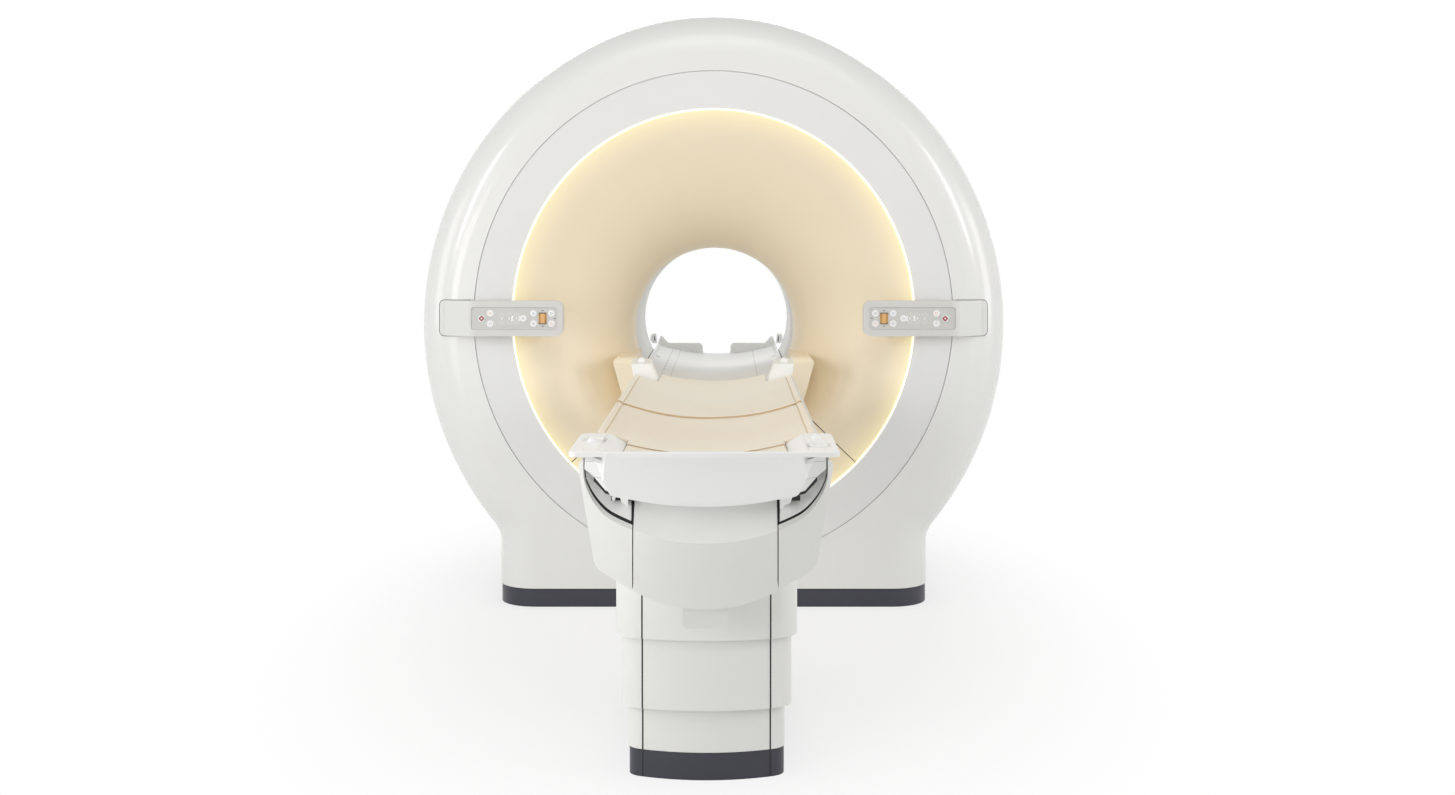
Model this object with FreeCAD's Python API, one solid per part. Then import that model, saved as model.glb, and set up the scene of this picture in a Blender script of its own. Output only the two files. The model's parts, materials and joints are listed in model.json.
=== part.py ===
import FreeCAD
import Part
import os
from math import atan2, cos, hypot, pi, radians, sin, sqrt, tan

Vector = FreeCAD.Vector

# A whole-body magnetic resonance scanner with a 0.7 m bore and its patient table.
# All sizes are in millimetres. While drawing, x is to the right seen from the table
# end, y is the depth behind the magnet's front plane and z is the height above the
# floor. At the end everything moves so that the origin lies on the floor under the
# middle of the magnet.

# ---- magnet covers -------------------------------------------------------------
MAGNET_LENGTH = 1740.0        # front plane to rear plane
COVER_HALF_WIDTH = 1212.0     # at the waist
COVER_WAIST_Z = 1153.0        # height of the widest point
SIDE_ARC_OFFSET = 102.0       # each side arc's centre lies this far past the middle
TOP_ARC_OFFSET = 172.0        # the top arc's centre lies this far above the waist
BASE_HALF_WIDTH = 888.0
BASE_BLEND_RADIUS = 110.0     # concave blend between the round part and the base
FRONT_EDGE_RADIUS = 160.0
REAR_EDGE_RADIUS = 120.0
COVER_WALL = 8.0
FRONT_COVER_DEPTH = 400.0
REAR_COVER_DEPTH = 400.0
COVER_JOINT = 3.0             # open line between neighbouring covers

# ---- base ------------------------------------------------------------------------
SKIRT_HEIGHT = 69.0
SKIRT_WALL = 6.0
SKIRT_INSET = 4.0
REVEAL_HEIGHT = 6.0           # dark line between skirt and covers
REVEAL_INSET = 3.0
FRAME_POCKET_X = (120.0, 500.0)
FRAME_POCKET_BAR = 120.0      # half of the cross bar between the pockets
FRAME_END_BAR = 150.0

# ---- front ring, light ring, funnel and bore ---------------------------------------
BORE_RADIUS = 350.0
BORE_Z = 1114.0
RING_Z = 1186.0               # centre of the light ring and of the ring panel
COVER_FACE = 230.0            # width of the front cover beside the ring panel
RING_PANEL_WIDTH = 155.0
SEAM_HALF_WIDTH = COVER_HALF_WIDTH - COVER_FACE          # outer edge of the ring panel
SEAM_HALF_HEIGHT = 1011.0
LIGHT_HALF_WIDTH = SEAM_HALF_WIDTH - RING_PANEL_WIDTH    # outer edge of the light ring
LIGHT_HALF_HEIGHT = SEAM_HALF_HEIGHT - RING_PANEL_WIDTH
LIGHT_WIDTH = 6.0
RING_SEAM_GAP = 3.0
RING_PANEL_FRONT = 2.0        # depth of the ring panel at its outer edge
RING_PANEL_DISH = 12.0        # how much deeper its inner edge lies
RING_PANEL_WALL = 10.0
RING_FLANGE = 15.0            # hidden rim behind the front cover
FUNNEL_END = 600.0            # depth where the funnel meets the bore liner
FUNNEL_POWER = 2.2            # trumpet curve
FUNNEL_WALL = 8.0
FUNNEL_STATIONS = 7
OVAL_POINTS = 16              # points that carry each ellipse of a loft
FUNNEL_SEAM_ANGLE = 42.0      # seams of the lower cover, below the horizontal
FUNNEL_SEAM_GAP = 3.0
LINER_WALL = 8.0
REAR_MOUTH = 360.0            # length of the flare behind the liner
LINER_END = MAGNET_LENGTH - REAR_MOUTH
LINER_FLANGE_LENGTH = 12.0
REAR_FLARE = 210.0            # how much wider the bore opens at the rear plane
REAR_STATIONS = 5

# ---- chin under the bore --------------------------------------------------------------
CHIN_TOP_Z = 1014.0
CHIN_BOTTOM_Z = 690.0
CHIN_HALF_WIDTH = 424.0
CHIN_LOW_HALF_WIDTH = 335.0
CHIN_FRONT = 100.0
CHIN_TURN_Z = 839.0           # the front face leans back below this height
CHIN_LOW_DEPTH = 330.0
CHANNEL_HALF_WIDTH = 325.0

# ---- cryostat, gradient coil, cold head ------------------------------------------------
CRYOSTAT_RADIUS = 960.0
CRYOSTAT_BORE = 480.0
CRYOSTAT_FRONT = 360.0
CRYOSTAT_REAR_ROOM = 140.0    # between the vessel and the rear plane
CRYOSTAT_REAR = MAGNET_LENGTH - CRYOSTAT_REAR_ROOM
CRYOSTAT_FOOT_X = (520.0, 700.0)
CRYOSTAT_FOOT_END = 120.0     # feet stop this far from the ends of the vessel
GRADIENT_WALL = 103.0
GRADIENT_END_ROOM = 130.0     # the coil is this much shorter than the vessel at each end
GRADIENT_FRONT = CRYOSTAT_FRONT + GRADIENT_END_ROOM
GRADIENT_REAR = CRYOSTAT_REAR - GRADIENT_END_ROOM
COLD_HEAD_RADIUS = 105.0
COLD_HEAD_FLANGE = 40.0
COLD_HEAD_HEIGHT = 250.0
COLD_HEAD_DEPTH = 1180.0

# ---- bridge through the bore -----------------------------------------------------------------
RAIL_Z = 955.0                # the tabletop slides at this height
TABLETOP_HALF_WIDTH = 305.0
RAIL_WIDTH = 10.0
BRIDGE_FRONT = 101.0
BRIDGE_OVERHANG = 40.0        # past the rear plane
BRIDGE_REAR = MAGNET_LENGTH + BRIDGE_OVERHANG
BRIDGE_BOTTOM_Z = 870.0
BRIDGE_SHOULDER_Z = 945.0     # trough height beside the rails
BRIDGE_TROUGH_Z = 903.0       # trough height in the middle
END_PLATE_DEPTH = 20.0
END_PLATE_HALF_WIDTH = 252.0
END_PLATE_PEAK_X = 288.0
END_PLATE_PEAK_Z = 1000.0
END_NOTCH_HALF_WIDTH = 72.0
END_NOTCH_Z = 898.0
END_NOTCH_RADIUS = 22.0

# ---- control panels -----------------------------------------------------------------------------
PANEL_Z = 1183.0
PANEL_REACH = 372.0           # how far it reaches inwards past the ring panel's seam
PANEL_END_ROOM = 89.0         # from its outer end to the cover's widest point
PANEL_FLUSH = 23.0            # flush strip at its outer end
PANEL_RAMP = 96.0             # length over which it sinks into the cover
PANEL_INNER_X = SEAM_HALF_WIDTH - PANEL_REACH
PANEL_OUTER_X = COVER_HALF_WIDTH - PANEL_END_ROOM
PANEL_HEIGHT = 145.0
PANEL_RAMP_X = (PANEL_OUTER_X - PANEL_FLUSH - PANEL_RAMP, PANEL_OUTER_X - PANEL_FLUSH)
PANEL_STANDOUT = 40.0
PANEL_INNER_RADIUS = 33.0
PANEL_OUTER_RADIUS = 20.0
PANEL_GROOVE = 2.5
PANEL_POCKET = 26.0           # depth of the pocket behind the keypad
KEYPAD_X = (PANEL_INNER_X + 25.0, PANEL_RAMP_X[0] - 18.0)
KEYPAD_HEIGHT = 92.0
KEYPAD_WALL = 6.0
KEYPAD_SUNK = 4.0
KEYPAD_RADIUS = 12.0
BUTTON_RADIUS = 13.5
STOP_BUTTON_RADIUS = 14.5
BUTTON_PROUD = 2.0
STOP_BUTTON_PROUD = 5.0
BUTTON_TAIL = 9.0             # length behind the keypad's face
BUTTON_ROW = 21.0             # height of the upper and lower rows from the middle
TOGGLE_X = KEYPAD_X[0] + 60.0
TOGGLE_WIDTH = 31.5
TOGGLE_HEIGHT = 46.0
TOGGLE_THICKNESS = 10.0
TOGGLE_PIN_RADIUS = 1.8
TOGGLE_PIN_LENGTH = 4.0       # on each side of the rocker
PIN_CLEARANCE = 0.05          # radial
STOP_X = KEYPAD_X[1] - 43.0
OUTER_BUTTON_X = STOP_X - 35.0
MIDDLE_BUTTON_X = TOGGLE_X + 79.0
NEAR_BUTTON_X = TOGGLE_X + 37.0
FAR_BUTTON_X = TOGGLE_X - 36.0

# ---- lifting column --------------------------------------------------------------------------------
LIFT_TRAVEL = 380.0           # the middle segment moves half of it
COLUMN_FRONT = -2100.0
COLUMN_REAR = -1300.0
COLUMN_HALF_WIDTH = 222.0
COLUMN_FRONT_SAG = 50.0       # corners lie this far behind the middle of the front
COLUMN_CORNER_RADIUS = 50.0
COLUMN_WALL = 5.0
MIDDLE_GROW = 19.5            # each segment is this much larger than the lowest
UPPER_GROW = 35.5
PEDESTAL_SKIRT_HEIGHT = 78.0
PEDESTAL_SKIRT_INSET = 2.0
UPPER_FLOOR_GAP = 20.0        # under the upper segment when the table is down
STAGE_GAP = 5.0               # between stages when the table is down
STAGE_PLATE = 10.0
COLUMN_SEAM_X = 180.0
COLUMN_SEAM = 3.0
SEAM_LIP = 4.0
HEAD_FLOOR_Z = 640.0          # underside of the beam
MAST_HALF_WIDTH = 130.0
MAST_HALF_DEPTH = 100.0
MAST_WALL = 10.0
MAST_GAP = 0.5
FLOOR_CHANNEL_HALF_WIDTH = 120.0
FLOOR_CHANNEL_HEIGHT = 8.0    # the lowered segments stay above it
FLOOR_CHANNEL_BEVEL = 20.0

# ---- beam that carries the tabletop -----------------------------------------------------------------------
BEAM_END = -120.0
BEAM_END_Z = 790.0            # underside at the magnet end
BEAM_TAPER_START = -1250.0
BEAM_FLOOR_Z = 825.0
BEAM_HALF_WIDTH = 322.0
BEAM_LOW_HALF_WIDTH = 262.0
RAIL_FRONT = -2290.0
RAIL_BELLY_Z = 885.0
SADDLE_X = 245.0              # inner face of the rails, lower end
SADDLE_Z = 868.0

# ---- bucket-shaped cover round the beam's near end ---------------------------------------------------------
HEAD_TIP = -2400.0            # where the two front planes would meet
HEAD_TIP_RADIUS = 640.0
HEAD_SHOULDER_Y = -2225.0
HEAD_REAR = -1850.0
HEAD_TOP_Z = 915.0
HEAD_TOP_HALF_WIDTH = 352.0
HEAD_LOW_HALF_WIDTH = 300.0
HEAD_LOW_Z = 628.0
HEAD_KEEL_Z = 478.0
HEAD_KEEL_RADIUS = 450.0
HEAD_WALL = 12.0
HEAD_GAP = 5.0
HEAD_SEAM_X = 195.0
HEAD_SEAM = 3.0
BOWL_FRONT_Z = 708.0          # lowest point of the sloping upper apron
BOWL_FRONT_Y = -2325.0
BOWL_HALF_WIDTH = 333.0
BOWL_RADIUS = 85.0
BOWL_SKIN = 10.0
BOWL_LENGTH = 900.0           # of the sloping cut, along and upwards
BULKHEADS = (-2192.0, -1900.0)
BULKHEAD_WALL = 10.0
TAB_HALF_WIDTH = 61.0
TAB_BOTTOM_Z = 473.0
TAB_Y = (-2292.0, -2262.0)

# ---- tabletop -------------------------------------------------------------------------------------------------
SLIDE_GAP = 0.3
TABLETOP_FRONT = -2500.0
TABLETOP_END = -45.0          # end of the middle tongue
TABLETOP_WIDE_END = -190.0    # full width up to here
TABLETOP_TONGUE_X = 205.0
TABLETOP_CENTRE_Z = 906.0
TABLETOP_WALL = 10.0
TABLETOP_RIM = 12.7
MATTRESS_GAP = 0.3
MATTRESS_EDGE_Z = 985.0
MATTRESS_CENTRE_Z = 930.0
MATTRESS_HALF_WIDTH = 303.0
MATTRESS_SPLIT = -1330.0
MATTRESS_SPLIT_GAP = 1.0
MATTRESS_FRONT = -2492.0
MATTRESS_END = -32.0
MATTRESS_TONGUE_X = 211.0
MATTRESS_EAR_X = 218.0
MATTRESS_CORNER = 10.0
BLOCK_FOOT_X = 217.0
BLOCK_X = (240.0, 320.0)      # at the top
BLOCK_Y = (-335.0, -192.0)
BLOCK_TOP_Z = (1022.0, 1034.0)
BLOCK_DOME_RADIUS = 15.0
FLANGE_FRONT = -2520.0
FLANGE_HALF_WIDTH = 348.0
FLANGE_TOP_Z = 977.0
FLANGE_THICKNESS = 14.0
EAR_INNER_X = 274.0
EAR_FOOT_X = 222.0
EAR_REAR = -2120.0
EAR_FOOT_RISE = 32.0          # foot of the ears' inner slope above the dip of the board
EAR_DOME_RADIUS = 15.0
EAR_DOME_X = 300.0
LEFT_DOME_Y = -2316.0
RIGHT_DOME_Y = -2253.0
EAR_RECESS_SHIFT = 60.0
EAR_RECESS_DEPTH = 3.0
BOAT_BOTTOM_Z = 830.0
BOAT_SIDE_Z = 862.0
BOAT_SIDE_X = 240.0
BOAT_TOP_X = 290.0
BOAT_FACE_X = 253.0           # half-width of its front face
BOAT_CORNER = 75.0            # length of its slanted corners
BOAT_REAR = EAR_REAR
BOAT_KEEL_RADIUS = 900.0

REACH = 4000.0                # larger than anything here, for cutting tools


# ---- drawing helpers ---------------------------------------------------------------------------------------------

def place_on(axis, level):
    """Return a function that puts a flat point (u, v) in space, square to one axis."""
    if axis == "x":
        return lambda u, v: Vector(level, u, v)
    if axis == "y":
        return lambda u, v: Vector(u, level, v)
    return lambda u, v: Vector(u, v, level)


def rounded_wire(corners, put):
    """Closed outline through (u, v, radius) corners, each rounded by its own radius."""
    edges = []
    ends = []
    count = len(corners)
    for index, (u, v, radius) in enumerate(corners):
        here = put(u, v)
        if radius <= 0:
            ends.append((here, here))
            continue
        before = corners[index - 1]
        after = corners[(index + 1) % count]
        back = put(before[0], before[1]).sub(here).normalize()
        ahead = put(after[0], after[1]).sub(here).normalize()
        half = back.getAngle(ahead) / 2
        start = here.add(Vector(back).multiply(radius / tan(half)))
        end = here.add(Vector(ahead).multiply(radius / tan(half)))
        inward = back.add(ahead).normalize()
        middle = here.add(inward.multiply(radius / sin(half) - radius))
        edges.append((index, Part.Arc(start, middle, end).toShape()))
        ends.append((start, end))
    arcs = dict(edges)
    outline = []
    for index in range(count):
        if index in arcs:
            outline.append(arcs[index])
        leave = ends[index][1]
        arrive = ends[(index + 1) % count][0]
        if leave.distanceToPoint(arrive) > 1e-6:
            outline.append(Part.makeLine(leave, arrive))
    return Part.Wire(outline)


def prism(corners, axis, start, end):
    """Solid with a rounded outline, pushed along one axis."""
    face = Part.Face(rounded_wire(corners, place_on(axis, start)))
    length = end - start
    push = {"x": Vector(length, 0, 0), "y": Vector(0, length, 0), "z": Vector(0, 0, length)}
    return face.extrude(push[axis])


def block(x_range, y_range, z_range):
    """Plain box between two limits on each axis."""
    corner = Vector(x_range[0], y_range[0], z_range[0])
    size = [high - low for low, high in (x_range, y_range, z_range)]
    return Part.makeBox(size[0], size[1], size[2], corner)


def both_sides(half):
    """Corners of a symmetrical outline from its right half, listed top to bottom."""
    left = [(-u, v, radius) for u, v, radius in reversed(half) if u != 0]
    return half + left


def mirrored(shape):
    return shape.mirror(Vector(0, 0, 0), Vector(1, 0, 0))


def tube_along_y(outer, inner, front, rear):
    """Round tube about the bore's axis."""
    axis = Vector(0, 1, 0)
    at = Vector(0, front, BORE_Z)
    wall = Part.makeCylinder(outer, rear - front, at, axis)
    return wall.cut(Part.makeCylinder(inner, rear - front, at, axis))


def oval_wire(half_width, half_height, centre_z, depth):
    """Upright ellipse across the bore's axis, drawn as four quarters."""
    centre = Vector(0, depth, centre_z)
    longer = Vector(0, 0, half_height)
    shorter = Vector(half_width, 0, 0)
    if half_width > half_height:
        longer, shorter = shorter, longer
    oval = Part.Ellipse(centre + longer, centre + shorter, centre)
    quarters = [oval.toShape(index * pi / 2, (index + 1) * pi / 2) for index in range(4)]
    return Part.Wire(quarters)


def oval_plug(half_width, half_height, front, rear):
    """Elliptical slab about the ring's centre."""
    wire = oval_wire(half_width, half_height, RING_Z, front)
    return Part.Face(wire).extrude(Vector(0, rear - front, 0))


def one_solid(shape):
    """The single solid of a boolean result, with its split faces joined again."""
    cleaned = shape.removeSplitter()
    solids = cleaned.Solids
    if len(solids) != 1:
        sizes = [round(solid.Volume) for solid in solids]
        print("more than one solid:", sizes)
    return max(solids, key=lambda solid: solid.Volume)


# ---- covers --------------------------------------------------------------------------------------------------------

SIDE_ARC_RADIUS = COVER_HALF_WIDTH + SIDE_ARC_OFFSET
TOP_ARC_Z = COVER_WAIST_Z + TOP_ARC_OFFSET
TOP_ARC_RADIUS = SIDE_ARC_RADIUS - hypot(SIDE_ARC_OFFSET, TOP_ARC_OFFSET)
COVER_BOTTOM_Z = SKIRT_HEIGHT + REVEAL_HEIGHT
BLEND_X = BASE_HALF_WIDTH + BASE_BLEND_RADIUS
BLEND_RISE = sqrt((SIDE_ARC_RADIUS + BASE_BLEND_RADIUS) ** 2 - (BLEND_X + SIDE_ARC_OFFSET) ** 2)
BLEND_Z = COVER_WAIST_Z - BLEND_RISE


def arc_about(centre_x, centre_z, radius, start, end, depth):
    """Arc across the bore's axis between two angles from +x."""
    points = []
    for angle in (start, (start + end) / 2, end):
        points.append(Vector(centre_x + radius * cos(angle), depth, centre_z + radius * sin(angle)))
    return Part.Arc(points[0], points[1], points[2]).toShape()


def cover_wire(inset, bottom, depth):
    """Outline of the covers seen from the front, moved inwards by inset."""
    blend = atan2(BLEND_RISE, BLEND_X + SIDE_ARC_OFFSET)
    crown = atan2(TOP_ARC_OFFSET, SIDE_ARC_OFFSET)
    edge_x = BASE_HALF_WIDTH - inset
    side = SIDE_ARC_RADIUS - inset
    blend_radius = BASE_BLEND_RADIUS + inset
    foot = Vector(edge_x, depth, bottom)
    knee = Vector(edge_x, depth, BLEND_Z)
    left_foot = Vector(-edge_x, depth, bottom)
    left_knee = Vector(-edge_x, depth, BLEND_Z)
    return Part.Wire([
        Part.makeLine(left_foot, foot),
        Part.makeLine(foot, knee),
        arc_about(BLEND_X, BLEND_Z, blend_radius, pi, pi - blend, depth),
        arc_about(-SIDE_ARC_OFFSET, COVER_WAIST_Z, side, -blend, crown, depth),
        arc_about(0, TOP_ARC_Z, TOP_ARC_RADIUS - inset, crown, pi - crown, depth),
        arc_about(SIDE_ARC_OFFSET, COVER_WAIST_Z, side, pi - crown, pi + blend, depth),
        arc_about(-BLEND_X, BLEND_Z, blend_radius, blend, 0, depth),
        Part.makeLine(left_knee, left_foot)])


def cover_block(inset, bottom):
    """Solid bounded by the covers, moved inwards by inset, with its rounded rims."""
    front = inset
    rear = MAGNET_LENGTH - inset
    solid = Part.Face(cover_wire(inset, bottom, front)).extrude(Vector(0, rear - front, 0))
    for depth, radius in ((front, FRONT_EDGE_RADIUS), (rear, REAR_EDGE_RADIUS)):
        rim = []
        for edge in solid.Edges:
            box = edge.BoundBox
            flat = abs(box.YMin - depth) < 1e-3 and abs(box.YMax - depth) < 1e-3
            if flat and box.ZMax > bottom + 1:
                rim.append(edge)
        solid = solid.makeFillet(radius - inset, rim)
    return solid


def base_block(inset, low, high):
    """Slab with the plan outline of the covers' base, moved inwards by inset."""
    half = BASE_HALF_WIDTH - inset
    front_radius = FRONT_EDGE_RADIUS - inset
    rear_radius = REAR_EDGE_RADIUS - inset
    corners = [
        (half, inset, front_radius),
        (half, MAGNET_LENGTH - inset, rear_radius),
        (-half, MAGNET_LENGTH - inset, rear_radius),
        (-half, inset, front_radius)]
    return prism(corners, "z", low, high)


def panel_opening(grow):
    """Right-hand plate through the front cover that carries the outer end of a control panel."""
    half = PANEL_HEIGHT / 2 + grow
    inner = PANEL_RAMP_X[0] - 30.0 - grow
    outer = PANEL_OUTER_X + grow
    radius = PANEL_OUTER_RADIUS + grow
    corners = [
        (inner, PANEL_Z + half, 0),
        (outer, PANEL_Z + half, radius),
        (outer, PANEL_Z - half, radius),
        (inner, PANEL_Z - half, 0)]
    return prism(corners, "y", -FRONT_EDGE_RADIUS, FRONT_EDGE_RADIUS)


def covers():
    """The four shells: front, left, right and rear, which stand on the base frame."""
    shell = cover_block(0, COVER_BOTTOM_Z).cut(cover_block(COVER_WALL, COVER_BOTTOM_Z - 20.0))
    half_joint = COVER_JOINT / 2
    split_front = FRONT_COVER_DEPTH
    split_rear = MAGNET_LENGTH - REAR_COVER_DEPTH
    whole_x = (-REACH, REACH)
    whole_z = (0, REACH)
    front = shell.common(block(whole_x, (-1, split_front - half_joint), whole_z))
    front = front.cut(oval_plug(SEAM_HALF_WIDTH, SEAM_HALF_HEIGHT, -1, COVER_WALL + 1))
    opening = panel_opening(PANEL_GROOVE)
    front = front.cut(opening)
    front = front.cut(mirrored(opening))
    middle = (split_front + half_joint, split_rear - half_joint)
    right = shell.common(block((half_joint, REACH), middle, whole_z))
    rear = shell.common(block(whole_x, (split_rear + half_joint, REACH), whole_z))
    rear = rear.fuse(rear_flare(COVER_WALL)).cut(rear_flare(0))
    return {
        "front_cover": one_solid(front),
        "right_side_cover": one_solid(right),
        "left_side_cover": mirrored(one_solid(right)),
        "rear_cover": one_solid(rear)}, shell


def smooth_oval_wire(half_width, half_height, centre_z, depth):
    """Upright ellipse as a light closed spline, for lofts."""
    points = []
    for index in range(OVAL_POINTS):
        angle = 2 * pi * index / OVAL_POINTS
        points.append(Vector(half_width * cos(angle), depth, centre_z + half_height * sin(angle)))
    spline = Part.BSplineCurve()
    spline.interpolate(Points=points, PeriodicFlag=True)
    return Part.Wire(spline.toShape())


def trumpet(radius_at, centre_at, depths):
    """Loft through upright ellipses; the two functions give size and centre height."""
    wires = []
    for depth in depths:
        half_width, half_height = radius_at(depth)
        wires.append(smooth_oval_wire(half_width, half_height, centre_at(depth), depth))
    return Part.makeLoft(wires, True, False)


def stations(front, rear, count):
    return [front + (rear - front) * index / (count - 1) for index in range(count)]


def rear_flare(wall):
    """Solid trumpet from the bore liner to the rear plane, larger by the wall's thickness."""
    length = MAGNET_LENGTH - LINER_END

    def radius_at(depth):
        share = max(0.0, (depth + wall - LINER_END) / length) ** FUNNEL_POWER
        radius = BORE_RADIUS + REAR_FLARE * share + wall
        return radius, radius

    depths = stations(LINER_END + SLIDE_GAP, MAGNET_LENGTH, REAR_STATIONS)
    return trumpet(radius_at, lambda depth: BORE_Z, depths)


# ---- front ring, funnel and chin --------------------------------------------------------------------------------------

RING_INNER_DEPTH = RING_PANEL_FRONT + RING_PANEL_DISH
RING_BACK = RING_INNER_DEPTH + RING_PANEL_WALL
FUNNEL_START = RING_BACK + SLIDE_GAP
FUNNEL_MOUTH_X = LIGHT_HALF_WIDTH - LIGHT_WIDTH - 2.0
FUNNEL_MOUTH_Z = LIGHT_HALF_HEIGHT - LIGHT_WIDTH - 2.0


def front_ring_panel():
    """Dished matte ring between the seam and the light ring, with a rim behind the cover."""
    face = oval_plug(SEAM_HALF_WIDTH - RING_SEAM_GAP, SEAM_HALF_HEIGHT - RING_SEAM_GAP,
                     RING_PANEL_FRONT, RING_BACK)
    rim_front = COVER_WALL + SLIDE_GAP
    rim = oval_plug(SEAM_HALF_WIDTH + RING_FLANGE, SEAM_HALF_HEIGHT + RING_FLANGE, rim_front, RING_BACK)
    dish = Part.makeLoft([
        oval_wire(SEAM_HALF_WIDTH - RING_SEAM_GAP, SEAM_HALF_HEIGHT - RING_SEAM_GAP,
                  RING_Z, RING_PANEL_FRONT),
        oval_wire(LIGHT_HALF_WIDTH, LIGHT_HALF_HEIGHT, RING_Z, RING_INNER_DEPTH)], True, True)
    hole = oval_plug(LIGHT_HALF_WIDTH, LIGHT_HALF_HEIGHT, 0, RING_BACK + 1)
    return one_solid(face.fuse(rim).cut(dish).cut(hole))


def light_ring():
    """Translucent strip that glows between the ring panel and the funnel."""
    outer = oval_plug(LIGHT_HALF_WIDTH - SLIDE_GAP, LIGHT_HALF_HEIGHT - SLIDE_GAP,
                      RING_INNER_DEPTH - 2.0, RING_BACK)
    inner = oval_plug(LIGHT_HALF_WIDTH - LIGHT_WIDTH, LIGHT_HALF_HEIGHT - LIGHT_WIDTH, 0, RING_BACK + 1)
    return outer.cut(inner)


def funnel_body(grow, shift):
    """Solid inside the funnel's curve, made larger by grow, with the curve moved back by shift."""
    length = FUNNEL_END - FUNNEL_START

    def share(depth):
        return max(0.0, (FUNNEL_END - depth + shift) / length) ** FUNNEL_POWER

    def radius_at(depth):
        part = share(depth)
        half_width = BORE_RADIUS + (FUNNEL_MOUTH_X - BORE_RADIUS) * part + grow
        half_height = BORE_RADIUS + (FUNNEL_MOUTH_Z - BORE_RADIUS) * part + grow
        return half_width, half_height

    def centre_at(depth):
        return BORE_Z + (RING_Z - BORE_Z) * share(depth)

    depths = stations(FUNNEL_START, FUNNEL_END - SLIDE_GAP, FUNNEL_STATIONS)
    return trumpet(radius_at, centre_at, depths)


def lower_sector(offset):
    """Wedge below the two radial seams, with its faces moved outwards by offset."""
    angle = radians(FUNNEL_SEAM_ANGLE)
    drop = REACH * tan(angle)
    rise = offset / cos(angle)
    corners = [
        (0, BORE_Z + rise, 0),
        (REACH, BORE_Z + rise - drop, 0),
        (-REACH, BORE_Z + rise - drop, 0)]
    return prism(corners, "y", -1, FUNNEL_END + 1)


def chin(inner):
    """Ledges under the bore that carry the bridge, bounded by the funnel's inner face."""
    across = prism(both_sides([
        (CHIN_HALF_WIDTH, CHIN_TOP_Z, 24.0),
        (CHIN_LOW_HALF_WIDTH, CHIN_BOTTOM_Z, 150.0)]), "y", CHIN_FRONT, FUNNEL_END - SLIDE_GAP)
    along = prism([
        (CHIN_FRONT, CHIN_TOP_Z, 30.0),
        (CHIN_FRONT, CHIN_TURN_Z, 90.0),
        (CHIN_LOW_DEPTH, CHIN_BOTTOM_Z - 60.0, 0),
        (FUNNEL_END + 10.0, CHIN_BOTTOM_Z - 60.0, 0),
        (FUNNEL_END + 10.0, CHIN_TOP_Z, 0)], "x", -CHIN_HALF_WIDTH - 10, CHIN_HALF_WIDTH + 10)
    channel = prism(both_sides([
        (CHANNEL_HALF_WIDTH, CHIN_TOP_Z + 60.0, 0),
        (CHANNEL_HALF_WIDTH, BRIDGE_BOTTOM_Z - SLIDE_GAP, 12.0)]), "y", CHIN_FRONT - 1, FUNNEL_END + 1)
    return across.common(along).cut(channel).common(inner)


def funnel_covers():
    """Upper trumpet cover, and the lower one with the chin."""
    inner = funnel_body(0, 0)
    outer = funnel_body(FUNNEL_WALL, FUNNEL_WALL)
    shell = outer.cut(inner)
    lower = shell.common(lower_sector(-FUNNEL_SEAM_GAP / 2)).fuse(chin(inner))
    upper = shell.cut(lower_sector(FUNNEL_SEAM_GAP / 2))
    return {"funnel_cover": one_solid(upper), "lower_funnel_cover": one_solid(lower)}


# ---- parts inside the covers ----------------------------------------------------------------------------------------

def bore_liner():
    """Tube round the patient, with a flange at each end that centres it in the coil."""
    front = FUNNEL_END
    tube = tube_along_y(BORE_RADIUS + LINER_WALL, BORE_RADIUS, front, LINER_END)
    coil_bore = CRYOSTAT_BORE - MAST_GAP - GRADIENT_WALL
    for start in (front, LINER_END - LINER_FLANGE_LENGTH):
        tube = tube.fuse(tube_along_y(coil_bore - SLIDE_GAP, BORE_RADIUS + LINER_WALL - 1,
                                      start, start + LINER_FLANGE_LENGTH))
    return one_solid(tube)


def gradient_coil():
    outer = CRYOSTAT_BORE - MAST_GAP
    return tube_along_y(outer, outer - GRADIENT_WALL, GRADIENT_FRONT, GRADIENT_REAR)


def cryostat():
    """Vacuum vessel of the magnet with its feet on the base frame."""
    vessel = tube_along_y(CRYOSTAT_RADIUS, CRYOSTAT_BORE, CRYOSTAT_FRONT, CRYOSTAT_REAR)
    span = (CRYOSTAT_FRONT + CRYOSTAT_FOOT_END, CRYOSTAT_REAR - CRYOSTAT_FOOT_END)
    foot = block(CRYOSTAT_FOOT_X, span, (COVER_BOTTOM_Z, BORE_Z - CRYOSTAT_BORE))
    bore = Part.makeCylinder(CRYOSTAT_BORE + 100.0, REACH, Vector(0, 0, BORE_Z), Vector(0, 1, 0))
    foot = foot.cut(bore)
    return one_solid(vessel.fuse(foot).fuse(mirrored(foot)))


def cold_head():
    """Cooler turret on top of the vessel."""
    low = BORE_Z + CRYOSTAT_RADIUS
    up = Vector(0, 0, 1)
    at = Vector(0, COLD_HEAD_DEPTH, low)
    flange = Part.makeCylinder(COLD_HEAD_RADIUS + COLD_HEAD_FLANGE, 2 * COLD_HEAD_FLANGE,
                               at.sub(Vector(0, 0, COLD_HEAD_FLANGE)), up)
    stem = Part.makeCylinder(COLD_HEAD_RADIUS, COLD_HEAD_HEIGHT, at, up)
    vessel = Part.makeCylinder(CRYOSTAT_RADIUS, REACH, Vector(0, 0, BORE_Z), Vector(0, 1, 0))
    return one_solid(flange.fuse(stem).cut(vessel))


def base_skirt():
    return base_block(SKIRT_INSET, 0, SKIRT_HEIGHT).cut(
        base_block(SKIRT_INSET + SKIRT_WALL, -1, SKIRT_HEIGHT + 1))


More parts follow.
